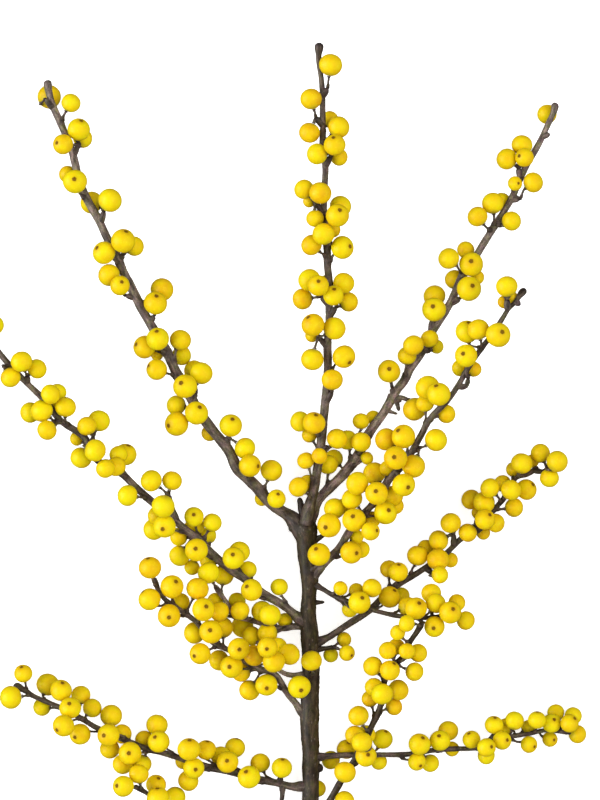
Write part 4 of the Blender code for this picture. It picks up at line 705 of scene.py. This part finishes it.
def add_twig(heap, rng, rows, feet, pale, club, others, is_stem=False):
    """One twig or the stem: its bark tube with knuckles where stalks leave, and its blunt end.

    Pale holds how pale its bark is at its foot and at its tip, and how dark it is all over.
    """
    fine, along = resample(rows, RING_STEP)
    path = fine[:, :3]
    half = fine[:, 3:]
    ahead, across, over = frames(path)
    turn = turns(STEM_SIDES if is_stem else TWIG_SIDES)
    out = round_about(turn, across, over)
    radius = half * np.ones(len(turn))
    phase = rng.uniform(0, 2 * math.pi, 8)
    at = along[:, None]
    ridged, rough = STEM_RELIEF if is_stem else TWIG_RELIEF
    radius *= 1 + WAVE_SWELL * sum(np.sin(at / wave + phase[i]) for i, wave in enumerate(BARK_WAVES))
    radius *= 1 + ridged * (np.sin(3 * turn + at / 9 + phase[3]) + np.sin(5 * turn - at / 6 + phase[4]))
    radius *= 1 + rng.normal(0, rough, radius.shape)
    dark = np.full(radius.shape, pale[2])
    if not is_stem:
        past = np.maximum(at - way_out(path, along, others), 0)
        radius *= 1 + COLLAR_SWELL * bell(past / (half[0] * 1.5))
        dark = np.maximum(dark, COLLAR_DARK * bell(past / 1.1))
    for foot, heading in feet:
        near = (at - along[np.argmin(range_to(path, foot))]) / KNUCKLE_LENGTH
        facing = np.clip(np.einsum("ksi,i->ks", out, heading), 0, 1)
        radius += KNUCKLE_SWELL * (bell(near) * facing ** 2)
        radius += KNUCKLE_GIRTH * bell(near)
        dark = np.maximum(dark, bell(near * 0.8) * (0.35 + 0.65 * facing))
    radius = np.minimum(radius, half * 1.15 + 0.75)
    end = at[-1] - at
    if is_stem:
        radius *= np.sqrt(np.clip(end / 2.5, 0, 1))
        dark = np.maximum(dark, TOP_DARK * bell(end / 3))
    else:
        radius *= (1 + (club - 1) * bell((end - 1.8) / 2.2)) * np.clip(end / 0.9, 0, 1) ** 0.4
        dark = np.maximum(dark, TIP_DARK * bell(end / 3))
    radius = np.maximum(radius, THINNEST_TWIG)
    rings = path[:, None] + out * radius[:, :, None]
    grain = np.stack([radius * np.cos(turn), radius * np.sin(turn), at * np.ones(len(turn))], axis=2)
    grain += rng.uniform(0, 90)
    cut = np.zeros(radius.shape)
    if is_stem:
        share, ring = np.array(CUT_RINGS).T[..., None]
        rings = np.concatenate([path[0] + (rings[0] - path[0]) * share[..., None], rings])
        grain = np.concatenate([np.repeat(grain[:1], len(share), axis=0), grain])
        dark = np.concatenate([np.zeros((len(share), len(turn))), dark])
        cut = np.concatenate([ring * np.ones(len(turn)), cut])
    heap.loft(rings, path[0], path[-1] + ahead[-1] * 0.04,
              grain=(grain, [grain[0].mean(axis=0), grain[-1].mean(axis=0)]),
              pale=(np.linspace(pale[0], pale[1], len(rings))[:, None], pale[:2]),
              dark=(dark, [0, dark[-1].mean()]), cut=(cut, [float(is_stem), 0]))


def add_stub(heap, rng, spine, stub, pale, others):
    """A bare stub, as a very short twig between two points as read."""
    foot, tip, half = stub
    z = spine[np.argmin(np.hypot(*(spine[:, :2] - foot).T)), 2]
    rows = np.array([[*seen_to_true(*foot, z), z, half * 1.1], [*seen_to_true(*tip, z), z + 0.5, half]])
    add_twig(heap, rng, rows, (), (pale, pale, STUB_DARK), STUB_CLUB, others)


def stalk_path(foot, twig_radius, centre, radius, pole, rivals):
    """The line of a stalk from the twig to the berry's back, bowed round what stands in the way."""
    goal = centre + pole * radius * FRUIT_BACK
    run = goal - foot
    reach = np.linalg.norm(run)
    leave = unit(unit(run) + 0.35 * unit(centre - foot))
    lead = max(0.6, reach * 0.38)
    side_a = any_across(run)
    side_b = np.cross(unit(run), side_a)

    def line_of(offset, count):
        """The stalk's curve with its middle pushed aside by the offset."""
        t = np.linspace(0, 1, count)[:, None]
        near = foot + leave * lead + offset
        far = goal + pole * lead * 0.8 + offset
        return (1 - t) ** 3 * foot + 3 * (1 - t) ** 2 * t * near + 3 * (1 - t) * t ** 2 * far + t ** 3 * goal

    best = (math.inf, None)
    for bow in BOWS:
        for k in range(8 if bow else 1):
            offset = bow * (side_a * math.cos(k * math.pi / 4) + side_b * math.sin(k * math.pi / 4))
            line = line_of(offset, 9)
            free = line[(range_to(line, foot) > twig_radius + 0.5) & (range_to(line, goal) > 0.8)]
            cost = BOW_COST * bow
            if len(free):
                clear = np.linalg.norm(free[:, None] - rivals[:, :3], axis=2) - rivals[:, 3] - STALK_ROOM
                cost += float(np.sum(np.maximum(-clear, 0)))
                cost += float(np.sum(np.maximum(radius + 0.3 - range_to(free, centre), 0)))
                cost += FLOOR_COST * float(np.sum(np.maximum(FLOOR_ROOM - free[:, 2], 0)))
            if cost < best[0]:
                best = (cost, offset)
    return line_of(best[1], max(8, int(reach / 0.5)))


def loft_stalk(heap, rng, rings, start, end, dark):
    """The skin of a stalk or a calyx, with its grain laid at random."""
    grain = rings + rng.uniform(0, 90)
    heap.loft(rings, start, end, grain=(grain, grain[[0, -1], 0]), pale=(STALK_PALE, [STALK_PALE] * 2),
              dark=dark, cut=(0, [0, 0]))


def add_stalk(heap, rng, path, twig_radius):
    """A thin stalk, thicker where it leaves the twig and where it meets the berry."""
    ahead, across, over = frames(path)
    out = round_about(turns(STALK_SIDES), across, over)
    gone = length_to(path)
    spur = bell(np.maximum(gone - twig_radius, 0))
    radius = STALK_RADIUS * (1 + 0.35 * bell((gone[-1] - gone) / 0.8)) + STALK_FOOT_RADIUS * spur
    radius = np.minimum(radius, twig_radius * 0.95)
    radius = radius[:, None] * (1 + rng.normal(0, 0.05, (len(path), STALK_SIDES)))
    rings = path[:, None] + out * radius[:, :, None]
    loft_stalk(heap, rng, rings, path[0], path[-1], (np.clip(0.3 + 0.7 * spur, 0, 1)[:, None], [1, 0.2]))


def add_calyx(heap, rng, centre, radius, pole):
    """The small star of dried sepals between stalk and berry."""
    across = any_across(pole)
    turn = turns(CALYX_SIDES) + rng.uniform(0, 6)
    flat = round_about(turn, across, np.cross(pole, across))
    lobes = 1 + 0.22 * np.cos(turn * 6) + rng.normal(0, 0.05, CALYX_SIDES)
    angle, share = np.array(CALYX_RINGS).T[..., None]
    reach = angle * np.where(angle > CALYX_LOBED, lobes, 1) * (3.9 / max(radius, 2.4)) ** 0.5
    out = flat * np.sin(reach)[..., None] + pole * np.cos(reach)[..., None]
    rings = centre + out * radius * share[..., None]
    loft_stalk(heap, rng, rings, centre + pole * radius * FRUIT_BACK, centre + pole * radius * 1.08,
               (0.3, [0.3, 0.3]))


def add_berry(heap, rng, centre, radius, apex, tone):
    """A round berry with a dimple and a raised scar at its apex, and slightly uneven sides."""
    across = any_across(apex)
    polar = FRUIT_RINGS[:, None]
    turn = turns(BERRY_SIDES)
    phase = rng.uniform(0, 2 * math.pi, 6)
    amount = rng.uniform(0.3, 1, 4) * FRUIT_RELIEF
    ragged = 1 + 0.10 * np.cos(5 * turn + phase[0]) + 0.06 * np.cos(3 * turn + phase[1])
    angle = polar * (1 + (ragged - 1) * np.clip((0.30 - polar) / 0.2, 0, 1))
    size = (1 + amount[0] * np.cos(2 * turn + phase[2]) * np.sin(angle) ** 2
            + amount[1] * np.cos(3 * turn + phase[3]) * np.sin(angle) ** 3
            + amount[2] * np.cos(2 * angle + phase[4])
            + amount[3] * np.cos(turn + phase[5]) * np.sin(2 * angle))
    size = size - DIMPLE_DEPTH * bell(angle / DIMPLE_ANGLE)
    size = size - BACK_DEPTH * bell((math.pi - angle) / BACK_ANGLE)
    scar = SCAR_HEIGHT + SCAR_RAGGED * np.cos(5 * turn + phase[0])
    size = size + np.clip((SCAR_ANGLE - polar) / 0.03, 0, 1) * scar
    size = size - PIT_DEPTH * np.clip((PIT_ANGLE - polar) / 0.06, 0, 1)
    flat = round_about(turn, across, np.cross(apex, across))
    out = flat * np.sin(angle)[..., None] + FRUIT_HEIGHT * apex * np.cos(angle)[..., None]
    # The rings run from the apex, so the skin is laid from the stalk's end to face outwards.
    rings = (centre + radius * size[..., None] * out)[::-1]
    low = centre - apex * radius * (FRUIT_HEIGHT * (1 - BACK_DEPTH + amount[2]))
    high = centre + apex * radius * FRUIT_HEIGHT * (1 - DIMPLE_DEPTH + PIT_DEPTH)
    heap.loft(rings, low, high, polar=((polar / math.pi)[::-1], [1, 0]), tone=(tone, [tone, tone]))


def apex_of(seen, centre, radius, foot, rng):
    """The direction from a berry's middle to its dark apex."""
    if seen:
        x, y = seen_to_true(*seen, centre[2] + radius * 0.8)
        flat = np.array([x - centre[0], y - centre[1]]) / radius
        length = np.linalg.norm(flat)
        if length > WIDEST_APEX:
            flat *= WIDEST_APEX / length
        return np.array([*flat, math.sqrt(max(0.02, 1 - flat @ flat))])
    away = unit(centre - foot)
    away[:2] = unit(away[:2] + rng.normal(0, 0.1, 2)) * max(0.8, np.hypot(away[0], away[1]))
    away[2] = min(away[2], 0.0) * 0.5 - rng.uniform(0, 0.3)
    return unit(away)


def pole_of(apex, centre, foot):
    """The direction from a berry's middle to where its stalk meets it, never straight up."""
    pole = unit(-apex + POLE_PULL * unit(foot - centre))
    pole[2] = min(pole[2], POLE_TOP)
    return unit(pole)


def spur_foot(foot, centre, radius, parts):
    """The end of a short side twig that is near and on the berry's side, or else the given foot."""
    nearest = LONGEST_TO_SPUR
    for part in parts[1:]:
        tip = part[-1, :3]
        gap = np.linalg.norm(tip - centre) - radius
        midway = tip + unit(centre - tip) * gap / 2
        clear = (range_to(parts[0], midway) - parts[0][:, 3]).min()
        if LEAST_TO_SPUR < gap < nearest and clear > LEAST_TO_SPUR:
            foot = tip
            nearest = gap
    return foot


def tone_of(place, ripe, rng):
    """How golden a berry is, from lemon at 0 to orange at 1."""
    # A berry behind a twig is painted more golden and darker: painted shade, not a colour of its own.
    tone = PLAIN_TONE + ripe + (BEHIND_PAINTED_SHADE if place < 0 else 0)
    return float(np.clip(tone + TONE_SPREAD * np.clip(rng.normal(), -TONE_LIMIT, TONE_LIMIT), 0, 1))


class Nodes:
    """A short way to write a material's nodes."""

    def __init__(self, name):
        self.look = bpy.data.materials.new(name)
        self.look.use_nodes = True
        self.tree = self.look.node_tree

    def put(self, sockets, **inputs):
        for key, value in inputs.items():
            self.fill(sockets[key.replace("_", " ")], value)

    def fill(self, socket, value):
        if isinstance(value, bpy.types.NodeSocket):
            self.tree.links.new(value, socket)
        else:
            socket.default_value = value

    def add(self, kind, settings=(), **inputs):
        node = self.tree.nodes.new("ShaderNode" + kind)
        for key, value in dict(settings).items():
            setattr(node, key, value)
        self.put(node.inputs, **inputs)
        return node

    def field(self, name, output="Fac"):
        return self.add("Attribute", {"attribute_name": name}).outputs[output]

    def spot(self):
        return self.add("TexCoord").outputs["Object"]

    def maths(self, operation, a, b, kind="Math"):
        node = self.add(kind, {"operation": operation})
        self.fill(node.inputs[0], a)
        self.fill(node.inputs[1], b)
        return node.outputs[0]

    def plus(self, a, b):
        return self.maths("ADD", a, b)

    def times(self, a, b):
        return self.maths("MULTIPLY", a, b)

    def ramp(self, factor, *stops):
        node = self.add("ValToRGB", Fac=factor)
        bar = node.color_ramp.elements
        while len(bar) < len(stops):
            bar.new(0.5)
        for spot, (place, colour) in zip(bar, stops):
            spot.position = place
            spot.color = (*colour, 1) if isinstance(colour, tuple) else (colour, colour, colour, 1)
        return node.outputs["Color"]

    def blend(self, factor, a, b, how="MIX"):
        node = self.add("Mix", {"data_type": "RGBA", "blend_type": how})
        self.fill(node.inputs[0], factor)
        for socket, value in (node.inputs[6], a), (node.inputs[7], b):
            self.fill(socket, (*value, 1) if isinstance(value, tuple) else value)
        return node.outputs[2]

    def noise(self, vector, scale, detail, rough=0.55):
        return self.add("TexNoise", Vector=vector, Scale=scale, Detail=detail, Roughness=rough).outputs["Fac"]

    def cells(self, vector, scale):
        return self.add("TexVoronoi", Vector=vector, Scale=scale).outputs["Distance"]

    def stretched(self, vector, z):
        return self.maths("MULTIPLY", vector, (1.0, 1.0, z), "VectorMath")

    def bump(self, height, strength, distance, **base):
        return self.add("Bump", Strength=strength, Distance=distance, Height=height, **base).outputs["Normal"]

    def finish(self, **inputs):
        self.put(self.tree.nodes["Principled BSDF"].inputs, **inputs)
        return self.look


def berry_look():
    """Smooth satin skin, lemon to golden, with a brown halo round the dark scar."""
    n = Nodes("berry_skin")
    polar = n.field("polar")
    tone = n.field("tone")
    spot = n.spot()
    clouds = n.noise(spot, 260, 3)
    shift = n.times(n.maths("SUBTRACT", clouds, 0.5), 1.5)
    skin = n.ramp(n.plus(tone, shift), (0, (0.80, 0.67, 0.004)), (0.35, (0.81, 0.60, 0.004)),
                  (0.65, (0.79, 0.53, 0.004)), (1, (0.74, 0.42, 0.004)))
    ripe = n.ramp(polar, (0, 1), (0.06, 0.85), (0.10, 0.3), (0.18, 0))
    skin = n.blend(n.times(ripe, 0.7), skin, (0.50, 0.25, 0.004))
    green = n.ramp(polar, (0, 0), (0.80, 0), (0.95, 0.55), (1, 0.7))
    skin = n.blend(green, skin, (0.42, 0.36, 0.03))
    dots = n.ramp(n.cells(spot, 1000), (0, 1), (0.16, 1), (0.26, 0))
    skin = n.blend(n.times(dots, 0.22), skin, (0.95, 0.82, 0.06))
    scar = n.ramp(polar, (0, 1), (0.052, 1), (0.066, 0))
    crust = n.ramp(n.noise(spot, 2600, 4), (0.3, (0.10, 0.046, 0.003)), (0.75, (0.30, 0.16, 0.006)))
    skin = n.blend(scar, skin, crust)
    rough = n.plus(n.times(clouds, 0.12), 0.27)
    rough = n.plus(rough, n.times(scar, 0.45))
    fine = n.bump(n.noise(spot, 900, 3), 0.10, 0.0002)
    return n.finish(Base_Color=skin, Roughness=rough, Normal=n.bump(scar, 0.3, 0.0002, Normal=fine),
                    Specular_IOR_Level=0.17, Subsurface_Weight=0.12, Subsurface_Scale=0.0012,
                    Subsurface_Radius=(1, 0.55, 0.1))


def bark_look():
    """Mottled bark, olive brown on the stem and greyer on the sprays, with dark knuckles."""
    n = Nodes("twig_bark")
    grain = n.field("grain", "Vector")
    pale = n.field("pale")
    dark = n.field("dark")
    cut = n.field("cut")
    streaks = n.noise(n.stretched(grain, 0.3), 0.8, 5, 0.6)
    crumbs = n.noise(grain, 2.4, 4, 0.6)
    mottle = n.plus(n.times(streaks, 0.6), n.times(crumbs, 0.4))
    shade = n.ramp(mottle, (0.33, 0.06), (0.43, 0.21), (0.50, 0.42), (0.56, 0.68), (0.64, 1))
    bark = n.blend(pale, (0.092, 0.065, 0.034), (0.49, 0.38, 0.315))
    bark = n.blend(1, bark, shade, "MULTIPLY")
    tints = n.ramp(n.noise(grain, 0.42, 3, 0.5), (0.36, (0.84, 1, 0.58)), (0.47, (0.97, 0.95, 0.92)),
                   (0.53, (0.97, 0.95, 0.92)), (0.64, (1, 0.83, 1)))
    bark = n.blend(1, bark, tints, "MULTIPLY")
    pores = n.ramp(n.cells(n.stretched(grain, 0.55), 0.62), (0, 1), (0.13, 1), (0.22, 0))
    bark = n.blend(n.times(pores, 0.35), bark, (0.24, 0.20, 0.16))
    bark = n.blend(n.times(dark, 0.8), bark, (0.020, 0.011, 0.013))
    rings = n.ramp(n.maths("FRACT", n.times(cut, 9), 0), (0, (0.58, 0.44, 0.26)),
                   (0.75, (0.50, 0.36, 0.19)), (1, (0.33, 0.22, 0.11)))
    bark = n.blend(n.ramp(cut, (0.1, 0), (0.3, 1)), bark, rings)
    rough = n.plus(n.times(crumbs, 0.3), 0.42)
    height = n.plus(n.times(streaks, 0.8), n.times(pores, 0.5))
    height = n.plus(height, n.times(crumbs, 0.4))
    return n.finish(Base_Color=bark, Roughness=rough, Normal=n.bump(height, 0.6, 0.0004),
                    Specular_IOR_Level=0.6)


def floor_look():
    """A plain pale studio floor."""
    n = Nodes("studio_floor")
    tint = n.ramp(n.noise(n.spot(), 3, 2), (0.3, (0.93, 0.925, 0.93)), (0.7, (0.95, 0.945, 0.95)))
    return n.finish(Base_Color=tint, Roughness=0.9, Specular_IOR_Level=0.1,
                    Emission_Color=(1, 1, 1, 1), Emission_Strength=0.6)


def wall_look():
    """A plain pale wall, evenly lit."""
    return Nodes("studio_wall").finish(Base_Color=(0, 0, 0, 1), Specular_IOR_Level=0,
                                       Emission_Color=(1, 0.995, 1, 1), Emission_Strength=0.97)


def build_branch():
    """Two pieces for each node, its bark and its berries, standing for the node's solid."""
    twigs, berries, posts = lay_out()
    looks = {"bark": bark_look(), "berries": berry_look()}
    fruit = np.array([[*centre, radius] for rows in berries.values() for centre, radius, foot in rows])
    for number, (name, spray) in enumerate(SPRAYS.items()):
        rng = np.random.default_rng(100 + number)
        wood = Heap("grain", "pale", "dark", "cut")
        crop = Heap("polar", "tone")
        parts = twigs[name]
        foot_pale, tip_pale, ripe = spray["tone"]
        knuckles = [[] for part in parts]
        for row, (centre, radius, foot) in zip(spray["berries"], berries[name]):
            radius = radius * FRUIT_SWELL
            foot = spur_foot(foot, centre, radius, parts)
            apex = apex_of(row[4:], centre, radius, foot, rng)
            pole = pole_of(apex, centre, foot)
            at = int(np.argmin([range_to(part, foot).min() for part in parts]))
            twig_radius = parts[at][np.argmin(range_to(parts[at], foot)), 3]
            close = range_to(fruit, centre)
            rivals = np.concatenate([fruit[(close < NEIGHBOURHOOD) & (close > 0.01)],
                                     posts[range_to(posts, centre) < NEIGHBOURHOOD, :4]])
            path = stalk_path(foot, twig_radius, centre, radius, pole, rivals)
            add_stalk(wood, rng, path, twig_radius)
            add_calyx(wood, rng, centre, radius, pole)
            add_berry(crop, rng, centre, radius, apex, tone_of(row[3], ripe, rng))
            knuckles[at].append((foot, unit(path[2] - path[0])))
        for p, part in enumerate(parts):
            others = posts[(posts[:, 4] != number) | (posts[:, 5] != p)]
            club = PLAIN_CLUB if p else spray.get("club", PLAIN_CLUB)
            pale = (foot_pale, tip_pale, SIDE_TWIG_DARK if p else 0)
            add_twig(wood, rng, part, knuckles[p], pale, club, others, name == "main_stem" and p == 0)
        for stub in spray.get("stubs", ()):
            add_stub(wood, rng, parts[0], stub, foot_pale, posts)
        for heap, slot in (wood, "bark"), (crop, "berries"):
            piece = heap.piece(name + "_" + slot, looks[slot])
            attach(piece, "root")
            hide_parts(name)


def light(name, place, power):
    """A far softbox seen from the branch in the direction of place."""
    data = bpy.data.lights.new(name, "SUN")
    data.energy = power
    data.angle = math.radians(LAMP_WIDTH)
    lamp = put_in_scene(name, data)
    lamp.location = place
    lamp.rotation_mode = "QUATERNION"
    lamp.rotation_quaternion = Vector(place).to_track_quat("Z", "Y")
    return lamp


def stage_piece(name, corners, faces, look):
    """Something that is seen but isn't part of the object, and that lights nothing."""
    mesh = bpy.data.meshes.new(name)
    mesh.from_pydata(corners, [], faces)
    mesh.materials.append(look)
    piece = put_in_scene(name, mesh)
    piece.visible_diffuse = False
    piece.visible_glossy = False
    return piece


def set_stage():
    """The floor, the wall round it, the studio light and the camera."""
    corners = [(-FLOOR_REACH, -FLOOR_REACH, 0), (FLOOR_REACH, -FLOOR_REACH, 0),
               (FLOOR_REACH, FLOOR_REACH, 0), (-FLOOR_REACH, FLOOR_REACH, 0)]
    stage_piece("floor", corners, [(0, 1, 2, 3)], floor_look())
    ring = [(WALL_RADIUS * math.cos(turn), WALL_RADIUS * math.sin(turn), z)
            for z in (0, WALL_HEIGHT) for turn in turns(WALL_STEPS)]
    after = [(i + 1) % WALL_STEPS for i in range(WALL_STEPS)]
    faces = [(i, WALL_STEPS + i, WALL_STEPS + j, j) for i, j in enumerate(after)]
    stage_piece("wall", ring, faces, wall_look()).visible_shadow = False
    for name, (place, power) in LAMPS.items():
        light(name, place, power).visible_glossy = name != "front"

    world = bpy.data.worlds.new("studio")
    world.use_nodes = True
    shade = world.node_tree.nodes["Background"]
    shade.inputs["Color"].default_value = SKY_COLOUR
    shade.inputs["Strength"].default_value = SKY_STRENGTH
    bpy.context.scene.world = world
    world.cycles_visibility.glossy = False
    bpy.context.scene.view_settings.view_transform = "Standard"

    data = bpy.data.cameras.new("camera")
    data.lens = LENS
    data.sensor_width = SENSOR
    camera = put_in_scene("camera", data)
    camera.location = ((EYE_X - MIDDLE_X) * MM, (EYE_Y - MIDDLE_Y) * MM, (EYE_RANGE + READING_HEIGHT) * MM)
    bpy.context.scene.camera = camera


build_branch()
set_stage()
